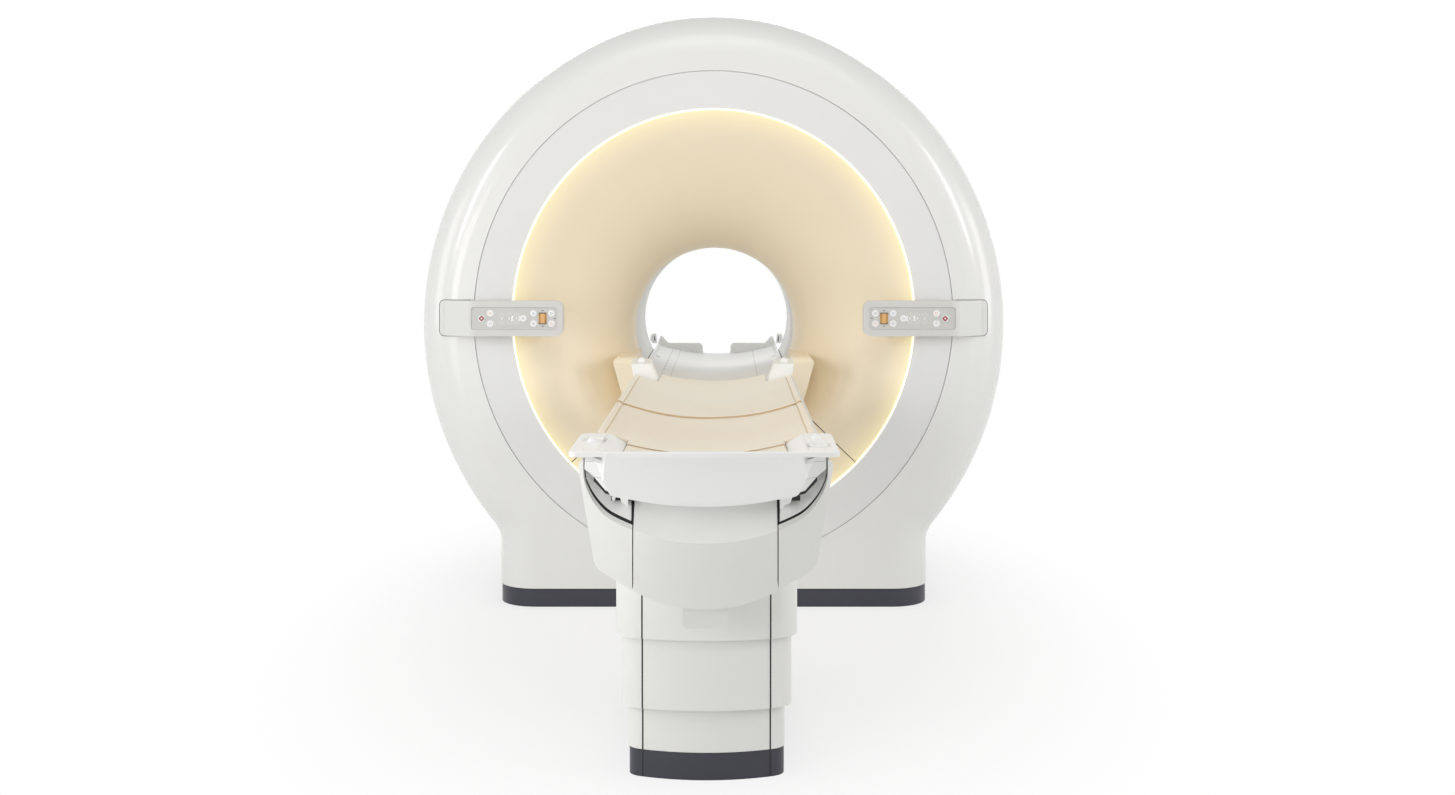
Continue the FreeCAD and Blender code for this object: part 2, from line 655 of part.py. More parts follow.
def base_frame():
    """Plinth that carries the vessel, with four pockets and a ledge for the covers."""
    inset = SKIRT_INSET + SKIRT_WALL + SLIDE_GAP
    frame = base_block(inset, 0, COVER_BOTTOM_Z)
    frame = frame.fuse(base_block(REVEAL_INSET, SKIRT_HEIGHT + SLIDE_GAP, COVER_BOTTOM_Z))
    middle = MAGNET_LENGTH / 2
    for near, far in ((FRAME_END_BAR, middle - FRAME_POCKET_BAR),
                      (middle + FRAME_POCKET_BAR, MAGNET_LENGTH - FRAME_END_BAR)):
        inner, outer = FRAME_POCKET_X
        pocket = prism([
            (inner, near, 30.0), (outer, near, 30.0), (outer, far, 30.0), (inner, far, 30.0)],
            "z", -1, COVER_BOTTOM_Z + 1)
        frame = frame.cut(pocket).cut(mirrored(pocket))
    return one_solid(frame)


def bore_bridge():
    """Trough that carries the tabletop through the bore, with its notched end plate."""
    wall_x = TABLETOP_HALF_WIDTH - RAIL_WIDTH
    seat = BORE_RADIUS - SLIDE_GAP
    sag = BRIDGE_SHOULDER_Z - BRIDGE_TROUGH_Z
    shoulder_x = wall_x - RAIL_WIDTH
    trough_radius = (shoulder_x ** 2 + sag ** 2) / (2 * sag)
    beam = block((-TABLETOP_HALF_WIDTH, TABLETOP_HALF_WIDTH), (BRIDGE_FRONT, BRIDGE_REAR),
                 (BRIDGE_BOTTOM_Z, RAIL_Z))
    beam = beam.common(Part.makeCylinder(seat, REACH, Vector(0, 0, BORE_Z), Vector(0, 1, 0)))
    trough = Part.makeCylinder(trough_radius, REACH, Vector(0, 0, BRIDGE_TROUGH_Z + trough_radius),
                               Vector(0, 1, 0))
    trough = trough.common(block((-shoulder_x, shoulder_x), (0, REACH), (0, REACH)))
    bevel = prism(both_sides([
        (wall_x, RAIL_Z + 1, 0), (shoulder_x, BRIDGE_SHOULDER_Z, 0)]), "y", 0, REACH)
    beam = beam.cut(trough).cut(bevel)
    plate = prism(both_sides([
        (END_NOTCH_HALF_WIDTH, END_NOTCH_Z, END_NOTCH_RADIUS),
        (END_NOTCH_HALF_WIDTH, RAIL_Z + 2, END_NOTCH_RADIUS),
        (END_PLATE_HALF_WIDTH, RAIL_Z + 2, 20.0),
        (END_PLATE_PEAK_X, END_PLATE_PEAK_Z, 8.0),
        (TABLETOP_HALF_WIDTH, RAIL_Z, 10.0),
        (TABLETOP_HALF_WIDTH - 50.0, BRIDGE_BOTTOM_Z, 10.0)]),
        "y", BRIDGE_REAR, BRIDGE_REAR + END_PLATE_DEPTH)
    return one_solid(beam.fuse(plate))


# ---- control panels --------------------------------------------------------------------------------------------------

PANEL_FRONT = -PANEL_STANDOUT
KEYPAD_FRONT = PANEL_FRONT + KEYPAD_SUNK
ROUND_BUTTONS = {
    "outer_upper": (OUTER_BUTTON_X, BUTTON_ROW),
    "outer_lower": (OUTER_BUTTON_X, -BUTTON_ROW),
    "middle": (MIDDLE_BUTTON_X, 0.0),
    "near_upper": (NEAR_BUTTON_X, BUTTON_ROW),
    "near_lower": (NEAR_BUTTON_X, -BUTTON_ROW),
    "far_upper": (FAR_BUTTON_X, BUTTON_ROW),
    "far_lower": (FAR_BUTTON_X, -BUTTON_ROW)}


def keypad_outline(grow):
    half = KEYPAD_HEIGHT / 2 + grow
    inner = KEYPAD_X[0] - grow
    outer = KEYPAD_X[1] + grow
    radius = KEYPAD_RADIUS + grow
    return [
        (inner, PANEL_Z + half, radius), (outer, PANEL_Z + half, radius),
        (outer, PANEL_Z - half, radius), (inner, PANEL_Z - half, radius)]


def panel_housing(cover_shell):
    """Moulding that stands out of the covers and runs flush into them at its outer end."""
    half = PANEL_HEIGHT / 2
    back = RING_PANEL_FRONT - SLIDE_GAP
    face = prism([
        (PANEL_INNER_X, PANEL_Z + half, PANEL_INNER_RADIUS),
        (PANEL_OUTER_X, PANEL_Z + half, PANEL_OUTER_RADIUS),
        (PANEL_OUTER_X, PANEL_Z - half, PANEL_OUTER_RADIUS),
        (PANEL_INNER_X, PANEL_Z - half, PANEL_INNER_RADIUS)], "y", PANEL_FRONT - 1, back)
    plan = prism([
        (PANEL_INNER_X, back, 0),
        (PANEL_INNER_X, PANEL_FRONT, 10.0),
        (PANEL_RAMP_X[0], PANEL_FRONT, 30.0),
        (PANEL_RAMP_X[1], back, 0)], "z", PANEL_Z - half, PANEL_Z + half)
    seam = oval_plug(SEAM_HALF_WIDTH, SEAM_HALF_HEIGHT, -FRONT_EDGE_RADIUS, FRONT_EDGE_RADIUS)
    flush = cover_shell.common(panel_opening(0)).cut(seam)
    body = face.common(plan).fuse(flush)
    pocket = prism(keypad_outline(0), "y", PANEL_FRONT - 1, PANEL_FRONT + PANEL_POCKET)
    return one_solid(body.cut(pocket))


def toggle_slot(gap):
    depth = KEYPAD_FRONT + KEYPAD_WALL / 2
    half = TOGGLE_HEIGHT / 2
    thick = TOGGLE_THICKNESS / 2
    swing = hypot(half, thick) if gap > 0 else half
    return block(
        (TOGGLE_X - TOGGLE_WIDTH / 2 - gap, TOGGLE_X + TOGGLE_WIDTH / 2 + gap),
        (depth - thick, depth + thick),
        (PANEL_Z - swing - gap, PANEL_Z + swing + gap))


def toggle_pin(gap):
    """Pin on which the rocker tilts, or its hole when gap is above zero."""
    half = TOGGLE_WIDTH / 2 + TOGGLE_PIN_LENGTH
    end_gap = SLIDE_GAP if gap > 0 else 0.0
    start = Vector(TOGGLE_X - half - end_gap, KEYPAD_FRONT + KEYPAD_WALL / 2, PANEL_Z)
    return Part.makeCylinder(TOGGLE_PIN_RADIUS + gap, 2 * (half + end_gap), start, Vector(1, 0, 0))


def button(x, drop, radius, proud):
    """Push button whose stem runs behind the keypad's face."""
    at = Vector(x, KEYPAD_FRONT - proud, PANEL_Z + drop)
    stem = Part.makeCylinder(radius, proud + BUTTON_TAIL, at, Vector(0, 1, 0))
    rim = [edge for edge in stem.Edges if edge.BoundBox.YMax < at.y + 1e-3]
    return stem.makeFillet(1.0, rim)


def control_panel(cover_shell):
    """All pieces of the right-hand control panel by their plain names."""
    plate = prism(keypad_outline(-SLIDE_GAP), "y", KEYPAD_FRONT, KEYPAD_FRONT + KEYPAD_WALL)
    pieces = {"panel_housing": panel_housing(cover_shell)}
    layout = {"%s_button" % name: (x, drop, BUTTON_RADIUS, BUTTON_PROUD)
              for name, (x, drop) in ROUND_BUTTONS.items()}
    layout["stop_button"] = (STOP_X, 0.0, STOP_BUTTON_RADIUS, STOP_BUTTON_PROUD)
    for name, (x, drop, radius, proud) in layout.items():
        pieces[name] = button(x, drop, radius, proud)
        hole = Part.makeCylinder(radius + SLIDE_GAP, REACH, Vector(x, PANEL_FRONT - 1, PANEL_Z + drop),
                                 Vector(0, 1, 0))
        plate = plate.cut(hole)
    pieces["keypad"] = one_solid(plate.cut(toggle_slot(SLIDE_GAP)).cut(toggle_pin(PIN_CLEARANCE)))
    rocker = toggle_slot(0)
    across = [edge for edge in rocker.Edges if edge.BoundBox.XLength > TOGGLE_WIDTH / 2]
    pieces["toggle"] = one_solid(rocker.makeFillet(2.0, across).fuse(toggle_pin(0)))
    return pieces


# ---- lifting column --------------------------------------------------------------------------------------------------

UPPER_BOTTOM_Z = LIFT_TRAVEL + UPPER_FLOOR_GAP
MIDDLE_BOTTOM_Z = (LIFT_TRAVEL + UPPER_FLOOR_GAP) / 2
MIDDLE_TOP_Z = HEAD_FLOOR_Z - STAGE_PLATE - LIFT_TRAVEL / 2 - STAGE_GAP
PEDESTAL_TOP_Z = MIDDLE_TOP_Z - STAGE_PLATE - LIFT_TRAVEL / 2 - STAGE_GAP
COLUMN_MIDDLE_Y = (COLUMN_FRONT + COLUMN_REAR) / 2


def column_block(grow, low, high):
    """Column segment as a solid: a rounded oblong with a bowed front."""
    half = COLUMN_HALF_WIDTH + grow
    front = COLUMN_FRONT - grow
    rear = COLUMN_REAR + grow
    shoulder = front + COLUMN_FRONT_SAG
    bow = Part.Arc(Vector(-half, shoulder, low), Vector(0, front, low), Vector(half, shoulder, low))
    wire = Part.Wire([
        bow.toShape(),
        Part.makeLine(Vector(half, shoulder, low), Vector(half, rear, low)),
        Part.makeLine(Vector(half, rear, low), Vector(-half, rear, low)),
        Part.makeLine(Vector(-half, rear, low), Vector(-half, shoulder, low))])
    solid = Part.Face(wire).extrude(Vector(0, 0, high - low))
    upright = [edge for edge in solid.Edges if edge.BoundBox.ZLength > (high - low) / 2]
    return solid.makeFillet(COLUMN_CORNER_RADIUS + grow, upright)


def strip(x_from, x_to, low, high):
    """Box at the front of the column between two distances from the middle, both sides."""
    right = block((x_from, x_to), (COLUMN_FRONT - 100, COLUMN_FRONT + 60), (low, high))
    return right.fuse(mirrored(right))


def column_segment(grow, low, high, plate):
    """A segment's U-shaped shell with its closing plate, and its separate front panel."""
    shell = column_block(grow, low, high).cut(column_block(grow - COLUMN_WALL, low - 1, high + 1))
    seam = COLUMN_SEAM_X - COLUMN_SEAM / 2
    middle = block((-seam, seam), (COLUMN_FRONT - 100, COLUMN_FRONT + 60), (low - 1, high + 1))
    front = shell.common(middle)
    seam_line = strip(0, COLUMN_SEAM_X + COLUMN_SEAM / 2, low - 1, high + 1)
    rest = shell.cut(seam_line.fuse(middle))
    lip_front = column_block(grow - COLUMN_WALL - SLIDE_GAP, low, high)
    lip_back = column_block(grow - COLUMN_WALL - SEAM_LIP, low - 1, high + 1)
    lip = lip_front.cut(lip_back).common(strip(seam - 12.0, seam + 14.0, low, high))
    bridge = shell.fuse(column_block(grow - 1, low, high).cut(lip_back))
    bridge = bridge.common(strip(seam + COLUMN_SEAM, seam + 14.0, low, high))
    rest = rest.fuse(lip).fuse(bridge)
    if plate:
        top = column_block(grow - COLUMN_WALL - SLIDE_GAP, high - STAGE_PLATE, high)
        side = column_block(grow - 1, high - STAGE_PLATE, high)
        rear_part = block((-REACH, REACH), (COLUMN_FRONT + 60, REACH), (low, high))
        rest = rest.fuse(top).fuse(side.common(rear_part))
    return rest, front


def guide_tube(step, low, high):
    """Telescopic guide stage; each step is one wall and one running gap smaller."""
    less = step * (MAST_WALL + MAST_GAP)
    half_x = MAST_HALF_WIDTH - less
    half_y = MAST_HALF_DEPTH - less
    outer = block((-half_x, half_x), (COLUMN_MIDDLE_Y - half_y, COLUMN_MIDDLE_Y + half_y), (low, high))
    half_x = half_x - MAST_WALL
    half_y = half_y - MAST_WALL
    inner = block((-half_x, half_x), (COLUMN_MIDDLE_Y - half_y, COLUMN_MIDDLE_Y + half_y),
                  (low - 1, high + 1))
    return outer, inner


def lifting_column():
    """Pedestal, middle and upper segments with the three stages of the guide."""
    pieces = {}
    outer, inner = guide_tube(0, 0, PEDESTAL_TOP_Z)
    pieces["lift_mast"] = outer.cut(inner)
    middle_outer, middle_inner = guide_tube(1, MIDDLE_BOTTOM_Z, MIDDLE_TOP_Z - STAGE_PLATE)
    pieces["middle_guide"] = middle_outer.cut(middle_inner)
    ram_outer, ram_inner = guide_tube(2, UPPER_BOTTOM_Z, HEAD_FLOOR_Z - STAGE_PLATE)
    pieces["lift_ram"] = ram_outer.cut(ram_inner)
    low = PEDESTAL_SKIRT_HEIGHT
    shell, front = column_segment(0, low, PEDESTAL_TOP_Z, False)
    pieces["pedestal_shell"] = one_solid(shell)
    pieces["pedestal_front"] = one_solid(front)
    shell, front = column_segment(MIDDLE_GROW, MIDDLE_BOTTOM_Z, MIDDLE_TOP_Z, True)
    passage = guide_tube(1, 0, REACH)[1]
    pieces["middle_shell"] = one_solid(shell.cut(passage))
    pieces["middle_front"] = one_solid(front)
    shell, front = column_segment(UPPER_GROW, UPPER_BOTTOM_Z, HEAD_FLOOR_Z, True)
    pieces["upper_shell"] = one_solid(shell)
    pieces["upper_front"] = one_solid(front)
    skirt = column_block(-PEDESTAL_SKIRT_INSET, 0, PEDESTAL_SKIRT_HEIGHT)
    well = block((-MAST_HALF_WIDTH - MAST_GAP, MAST_HALF_WIDTH + MAST_GAP),
                 (COLUMN_MIDDLE_Y - MAST_HALF_DEPTH - MAST_GAP, COLUMN_MIDDLE_Y + MAST_HALF_DEPTH + MAST_GAP),
                 (-1, PEDESTAL_SKIRT_HEIGHT + 1))
    pieces["pedestal_skirt"] = one_solid(skirt.cut(well))
    rear = COLUMN_REAR - PEDESTAL_SKIRT_INSET
    half = FLOOR_CHANNEL_HALF_WIDTH
    pieces["floor_channel"] = prism(both_sides([
        (half - FLOOR_CHANNEL_BEVEL, FLOOR_CHANNEL_HEIGHT, 0), (half, 0, 0)]), "y", rear, SKIRT_INSET)
    return pieces


# ---- table head ------------------------------------------------------------------------------------------------------

def boat_channel(drop):
    """Free space above the beam in which the end cap's boat runs."""
    rail_x = TABLETOP_HALF_WIDTH - RAIL_WIDTH
    return prism(both_sides([
        (rail_x, REACH, 0),
        (rail_x, RAIL_Z - drop, 0),
        (SADDLE_X, SADDLE_Z - drop, 8.0),
        (SADDLE_X - 5.0, BEAM_FLOOR_Z - drop, 10.0)]), "y", -REACH, BEAM_END + 1)


def rails(front):
    """The two side rails with their slanted inner faces."""
    rail_x = TABLETOP_HALF_WIDTH - RAIL_WIDTH
    right = prism([
        (rail_x, RAIL_Z, 0),
        (BEAM_HALF_WIDTH, RAIL_Z, 5.0),
        (BEAM_HALF_WIDTH + 3.0, RAIL_BELLY_Z + 15.0, 8.0),
        (BEAM_HALF_WIDTH - 20.0, RAIL_BELLY_Z, 15.0),
        (SADDLE_X + 25.0, BEAM_FLOOR_Z + 20.0, 12.0),
        (SADDLE_X, BEAM_FLOOR_Z + 10.0, 0),
        (SADDLE_X, SADDLE_Z, 8.0)], "y", front, BEAM_END)
    return right.fuse(mirrored(right))


def bowl(grow):
    """Sloping tool that forms the upper apron and the saddles at 45 degrees."""
    half = BOWL_HALF_WIDTH + grow
    drop = grow * sqrt(2)
    start = BOWL_FRONT_Y - 200.0
    floor_z = BOWL_FRONT_Z - drop - 200.0
    radius = BOWL_RADIUS + grow
    corners = both_sides([(half, floor_z + 700.0, 0), (half, floor_z, radius)])
    face = Part.Face(rounded_wire(corners, place_on("y", start)))
    return face.extrude(Vector(0, BOWL_LENGTH, BOWL_LENGTH))


def head_block(inset):
    """Hull of the head: front view, plan and side view intersected."""
    length = REACH if inset > 0 else 0.0
    front_view = prism(both_sides([
        (HEAD_TOP_HALF_WIDTH - inset, HEAD_TOP_Z, 18.0 if inset == 0 else 0),
        (HEAD_LOW_HALF_WIDTH - inset, HEAD_LOW_Z + inset / 2, 45.0 - inset / 2),
        (0, HEAD_KEEL_Z + inset * 1.1, HEAD_KEEL_RADIUS)]), "y", HEAD_TIP, HEAD_REAR + length)
    plan = prism(both_sides([
        (HEAD_TOP_HALF_WIDTH - inset, HEAD_REAR + length, 0),
        (HEAD_TOP_HALF_WIDTH - inset, HEAD_SHOULDER_Y + inset / 2, 50.0 - inset / 2),
        (0, HEAD_TIP + inset * 1.1, HEAD_TIP_RADIUS - inset)]), "z", 0, REACH)
    return front_view.common(plan)


def table_head():
    """Bucket-shaped covers, beam and rails."""
    pieces = {}
    hull = head_block(0)
    core = head_block(HEAD_WALL)
    slope = bowl(0)
    slope_back = bowl(BOWL_SKIN)
    column = column_block(UPPER_GROW + COLUMN_SEAM, 0, HEAD_FLOOR_Z + SLIDE_GAP)
    channel = boat_channel(SLIDE_GAP)
    rail_pair = rails(RAIL_FRONT)
    wall = hull.cut(core).cut(slope).cut(column).cut(channel)
    skin = slope_back.cut(slope).common(hull).cut(channel).cut(rail_pair)
    lower_limit = block((-REACH, REACH), (HEAD_TIP, HEAD_REAR), (0, RAIL_Z))
    inner_x = HEAD_SEAM_X - HEAD_SEAM / 2
    outer_x = HEAD_SEAM_X + HEAD_SEAM / 2
    middle = block((-inner_x, inner_x), (-REACH, REACH), (0, REACH))
    right = block((outer_x, REACH), (-REACH, REACH), (0, REACH))
    tab = prism(both_sides([
        (TAB_HALF_WIDTH, HEAD_KEEL_Z + 90.0, 0), (TAB_HALF_WIDTH, TAB_BOTTOM_Z, 12.0)]),
        "y", TAB_Y[0], TAB_Y[1])
    apron_limit = block((-inner_x, inner_x), (HEAD_TIP, BULKHEADS[0]), (0, BEAM_FLOOR_Z))
    apron = skin.common(apron_limit)
    front_panel = wall.common(middle).fuse(apron).fuse(tab.cut(core))
    pieces["head_front_panel"] = one_solid(front_panel)
    wing = one_solid(wall.common(right))
    pieces["right_wing"] = wing
    pieces["left_wing"] = mirrored(wing)
    saddle_room = head_block(HEAD_WALL + HEAD_GAP)
    saddle_side = block((outer_x, BOWL_HALF_WIDTH - HEAD_GAP), (HEAD_TIP, BULKHEADS[0] + 90.0), (0, RAIL_Z))
    saddle = one_solid(skin.common(right).common(saddle_room).common(saddle_side).common(lower_limit))
    pieces["right_saddle"] = saddle
    pieces["left_saddle"] = mirrored(saddle)
    pieces["support_beam"] = support_beam(rail_pair, column, slope_back, core)
    return pieces


def support_beam(rail_pair, column, slope_back, core):
    """Box beam under the tabletop with its rails and the two bulkheads inside the hull."""
    front_view = prism(both_sides([
        (BEAM_HALF_WIDTH - 4.0, BEAM_FLOOR_Z + 75.0, 0),
        (BEAM_HALF_WIDTH - 4.0, BEAM_FLOOR_Z + 40.0, 30.0),
        (BEAM_LOW_HALF_WIDTH, HEAD_FLOOR_Z, 60.0)]), "y", BULKHEADS[0], BEAM_END)
    side_view = prism([
        (RAIL_FRONT, HEAD_FLOOR_Z, 0),
        (BEAM_TAPER_START, HEAD_FLOOR_Z, 0),
        (BEAM_END, BEAM_END_Z, 20.0),
        (BEAM_END, REACH, 0),
        (RAIL_FRONT, REACH, 0)], "x", -REACH, REACH)
    channel = boat_channel(0)
    skin_room = bowl(BOWL_SKIN + SLIDE_GAP)
    box = front_view.common(side_view).cut(skin_room)
    beam = box
    frame_room = head_block(HEAD_WALL + SLIDE_GAP).cut(skin_room).cut(column)
    for depth in BULKHEADS:
        slab = block((-REACH, REACH), (depth, depth + BULKHEAD_WALL), (0, HEAD_TOP_Z))
        beam = beam.fuse(frame_room.common(slab))
    beam = beam.fuse(rail_pair)
    return one_solid(beam.cut(channel))


# ---- tabletop --------------------------------------------------------------------------------------------------------

def dished_slab(half_width, edge_low, centre_low, edge_high, centre_high, front, rear):
    """Long slab whose lower and upper faces both sag in the middle."""
    def point(x, z):
        return Vector(x, front, z)
    flat = RAIL_WIDTH + 2.0
    low_x = half_width - flat
    wire = Part.Wire([
        Part.makeLine(point(half_width, edge_low), point(low_x, edge_low)),
        Part.Arc(point(low_x, edge_low), point(0, centre_low), point(-low_x, edge_low)).toShape(),
        Part.makeLine(point(-low_x, edge_low), point(-half_width, edge_low)),
        Part.makeLine(point(-half_width, edge_low), point(-half_width, edge_high)),
        Part.Arc(point(-half_width, edge_high), point(0, centre_high),
                 point(half_width, edge_high)).toShape(),
        Part.makeLine(point(half_width, edge_high), point(half_width, edge_low))])
    return Part.Face(wire).extrude(Vector(0, rear - front, 0))


TABLETOP_LOW_Z = RAIL_Z + SLIDE_GAP
TABLETOP_RIM_Z = TABLETOP_LOW_Z + TABLETOP_RIM
TABLETOP_DIP_Z = TABLETOP_CENTRE_Z + TABLETOP_WALL


def tabletop_shell():
    """Thin dished board whose edges slide on the rails, with a narrower tongue at its far end."""
    board = dished_slab(TABLETOP_HALF_WIDTH, TABLETOP_LOW_Z, TABLETOP_CENTRE_Z,
                        TABLETOP_RIM_Z, TABLETOP_DIP_Z, TABLETOP_FRONT, TABLETOP_END)
    wide = TABLETOP_HALF_WIDTH + 1.0
    plan = prism(both_sides([
        (TABLETOP_TONGUE_X, TABLETOP_END, 12.0),
        (TABLETOP_TONGUE_X, TABLETOP_WIDE_END, 8.0),
        (wide, TABLETOP_WIDE_END, 0),
        (wide, TABLETOP_FRONT, 0)]), "z", 0, REACH)
    return one_solid(board.common(plan))


def mattresses():
    """Two pads that follow the board, with notches for the ears and the socket blocks."""
    rim = TABLETOP_RIM_Z + MATTRESS_GAP
    dip = TABLETOP_DIP_Z + MATTRESS_GAP

    def point(x, z):
        return Vector(x, MATTRESS_FRONT, z)
    half = MATTRESS_HALF_WIDTH
    wire = Part.Wire([
        Part.Arc(point(-half, rim), point(0, dip), point(half, rim)).toShape(),
        Part.makeLine(point(half, rim), point(half, MATTRESS_EDGE_Z)),
        Part.Arc(point(half, MATTRESS_EDGE_Z), point(0, MATTRESS_CENTRE_Z),
                 point(-half, MATTRESS_EDGE_Z)).toShape(),
        Part.makeLine(point(-half, MATTRESS_EDGE_Z), point(-half, rim))])
    pad = Part.Face(wire).extrude(Vector(0, MATTRESS_END - MATTRESS_FRONT, 0))
    long_edges = [edge for edge in pad.Edges
                  if edge.BoundBox.YLength > 100 and edge.BoundBox.ZMin > MATTRESS_EDGE_Z - 1]
    pad = pad.makeFillet(5.0, long_edges)
    tongue = MATTRESS_TONGUE_X
    ear = MATTRESS_EAR_X
    back = BLOCK_Y[0] - 6.0
    ear_back = EAR_REAR + 6.0
    edge_x = half + 10.0
    corner = MATTRESS_CORNER
    plan = prism(both_sides([
        (tongue, MATTRESS_END, corner),
        (tongue, back, corner / 2),
        (edge_x, back, 0),
        (edge_x, ear_back, 0),
        (ear, ear_back, corner / 2),
        (ear, MATTRESS_FRONT, corner)]), "z", 0, REACH)
    pad = pad.common(plan)
    split = MATTRESS_SPLIT_GAP / 2
    far = pad.common(block((-REACH, REACH), (MATTRESS_SPLIT + split, 0), (0, REACH)))
    near = pad.common(block((-REACH, REACH), (-REACH, MATTRESS_SPLIT - split), (0, REACH)))
    return {"head_mattress": one_solid(far), "foot_mattress": one_solid(near)}


def socket_block(board):
    """White connector block on the right horn of the board, with its domed knob."""
    inner, outer = BLOCK_X
    near, far = BLOCK_Y
    edge = TABLETOP_HALF_WIDTH
    front_view = prism([
        (BLOCK_FOOT_X, TABLETOP_CENTRE_Z, 0),
        (BLOCK_FOOT_X, TABLETOP_RIM_Z - 8.0, 0),
        (BLOCK_FOOT_X + 8.0, TABLETOP_RIM_Z + 10.0, 12.0),
        (inner, BLOCK_TOP_Z[0] - 6.0, 14.0),
        (inner + 4.0, BLOCK_TOP_Z[1] + 10.0, 0),
        (outer, BLOCK_TOP_Z[1] + 10.0, 0),
        (edge + 4.0, TABLETOP_RIM_Z + 10.0, 12.0),
        (edge - 1.0, TABLETOP_RIM_Z - 4.0, 0),
        (edge - RAIL_WIDTH, TABLETOP_CENTRE_Z, 0)], "y", near, far)
    side_view = prism([
        (near, TABLETOP_CENTRE_Z, 0), (near + 6.0, BLOCK_TOP_Z[0], 8.0), (far - 4.0, BLOCK_TOP_Z[1], 8.0),
        (far, TABLETOP_CENTRE_Z, 0)], "x", 0, REACH)
    under_board = dished_slab(edge + 1.0, TABLETOP_LOW_Z - 200.0, TABLETOP_CENTRE_Z - 200.0,
                              TABLETOP_RIM_Z - 2.0, TABLETOP_DIP_Z - 2.0, TABLETOP_FRONT, 0)
    body = one_solid(front_view.common(side_view).cut(under_board).cut(board))
    above = block((0, REACH), (-REACH, REACH), (TABLETOP_RIM_Z, REACH))
    middle_x = (inner + outer) / 2
    middle_y = (near + far) / 2
    middle_z = (BLOCK_TOP_Z[0] + BLOCK_TOP_Z[1]) / 2
    dome = Part.makeSphere(BLOCK_DOME_RADIUS, Vector(middle_x, middle_y, middle_z))
    return one_solid(body.fuse(dome.common(above)))


def end_cap(board):
    """Boat-shaped near end of the tabletop: flange, two ears with knobs, and hull."""
    boat_view = prism(both_sides([
        (BOAT_TOP_X, FLANGE_TOP_Z - 3.0, 0),
        (BOAT_TOP_X - 4.0, RAIL_Z + 2.0, 0),
        (BOAT_SIDE_X, BOAT_SIDE_Z, 22.0),
        (0, BOAT_BOTTOM_Z - 10.0, BOAT_KEEL_RADIUS)]), "y", FLANGE_FRONT + 8.0, BOAT_REAR)
    boat_side = prism([
        (FLANGE_FRONT + 8.0, FLANGE_TOP_Z, 0),
        (FLANGE_FRONT + 26.0, BOAT_BOTTOM_Z - 4.0, 24.0),
        (FLANGE_FRONT + 90.0, BOAT_BOTTOM_Z - 4.0, 60.0),
        (BOAT_REAR, TABLETOP_CENTRE_Z, 0),
        (BOAT_REAR, FLANGE_TOP_Z, 0)], "x", -REACH, REACH)
    boat_plan = prism(both_sides([
        (BOAT_TOP_X, BOAT_REAR, 0),
        (BOAT_TOP_X, FLANGE_FRONT + BOAT_CORNER, 25.0),
        (BOAT_FACE_X, FLANGE_FRONT + 8.0, 6.0)]), "z", 0, REACH)
    boat = boat_view.common(boat_side).common(boat_plan)
    low = FLANGE_TOP_Z - FLANGE_THICKNESS
    half = FLANGE_HALF_WIDTH
    strip_rear = TABLETOP_FRONT + 2.0
    flange = prism(both_sides([
        (half, EAR_REAR, 30.0),
        (half, FLANGE_FRONT + 14.0, 22.0),
        (0, FLANGE_FRONT, 0)]), "z", low, FLANGE_TOP_Z)
    opening = prism(both_sides([
        (EAR_INNER_X, EAR_REAR + 1, 0), (EAR_INNER_X, strip_rear, 12.0)]), "z", low - 1, REACH)
    flange = flange.cut(opening)
    upper_rim = [edge for edge in flange.Edges if edge.BoundBox.ZMin > FLANGE_TOP_Z - 1e-3]
    flange = flange.makeFillet(4.0, upper_rim)
    mattress_room = prism(both_sides([
        (EAR_INNER_X - 8.0, REACH, 0),
        (EAR_INNER_X - 8.0, FLANGE_TOP_Z - 3.0, 6.0),
        (EAR_FOOT_X, TABLETOP_DIP_Z + EAR_FOOT_RISE, 0),
        (EAR_FOOT_X, TABLETOP_CENTRE_Z, 0)]), "y", strip_rear, REACH)
    cap = boat.fuse(flange).cut(mattress_room).cut(board)
    for side, dome_y, recess_y in ((-1, LEFT_DOME_Y, LEFT_DOME_Y + EAR_RECESS_SHIFT),
                                   (1, RIGHT_DOME_Y, RIGHT_DOME_Y - 2 * EAR_RECESS_SHIFT)):
        x = side * EAR_DOME_X
        top = FLANGE_TOP_Z
        slot = prism([
            (x - 22.0, recess_y - 36.0, 18.0), (x + 22.0, recess_y - 36.0, 18.0),
            (x + 22.0, recess_y + 36.0, 18.0), (x - 22.0, recess_y + 36.0, 18.0)],
            "z", top - EAR_RECESS_DEPTH, top + 1)
        cap = cap.cut(slot)
        dome = Part.makeSphere(EAR_DOME_RADIUS, Vector(x, dome_y, top - 1.0))
        cap = cap.fuse(dome.common(block((-REACH, REACH), (-REACH, 0), (top - 5.0, REACH))))
    return one_solid(cap)


# ---- the whole scanner ---------------------------------------------------------------------------------------------------

def build():
    pieces, cover_shell = covers()
    pieces["front_ring_panel"] = front_ring_panel()
    pieces["light_ring"] = light_ring()
    pieces.update(funnel_covers())
    pieces["bore_liner"] = bore_liner()
    pieces["gradient_coil"] = gradient_coil()
    pieces["cryostat"] = cryostat()
    pieces["cold_head"] = cold_head()
    pieces["base_skirt"] = base_skirt()
    pieces["base_frame"] = base_frame()
    pieces["bore_bridge"] = bore_bridge()
    for name, shape in control_panel(cover_shell).items():
        pieces["right_" + name] = shape
        pieces["left_" + name] = mirrored(shape)
    pieces.update(lifting_column())
    pieces.update(table_head())
    board = tabletop_shell()
    pieces["tabletop_shell"] = board
    pieces.update(mattresses())
    block_right = socket_block(board)
    pieces["right_socket_block"] = block_right
    pieces["left_socket_block"] = mirrored(block_right)
    pieces["end_cap"] = end_cap(board)
    return pieces


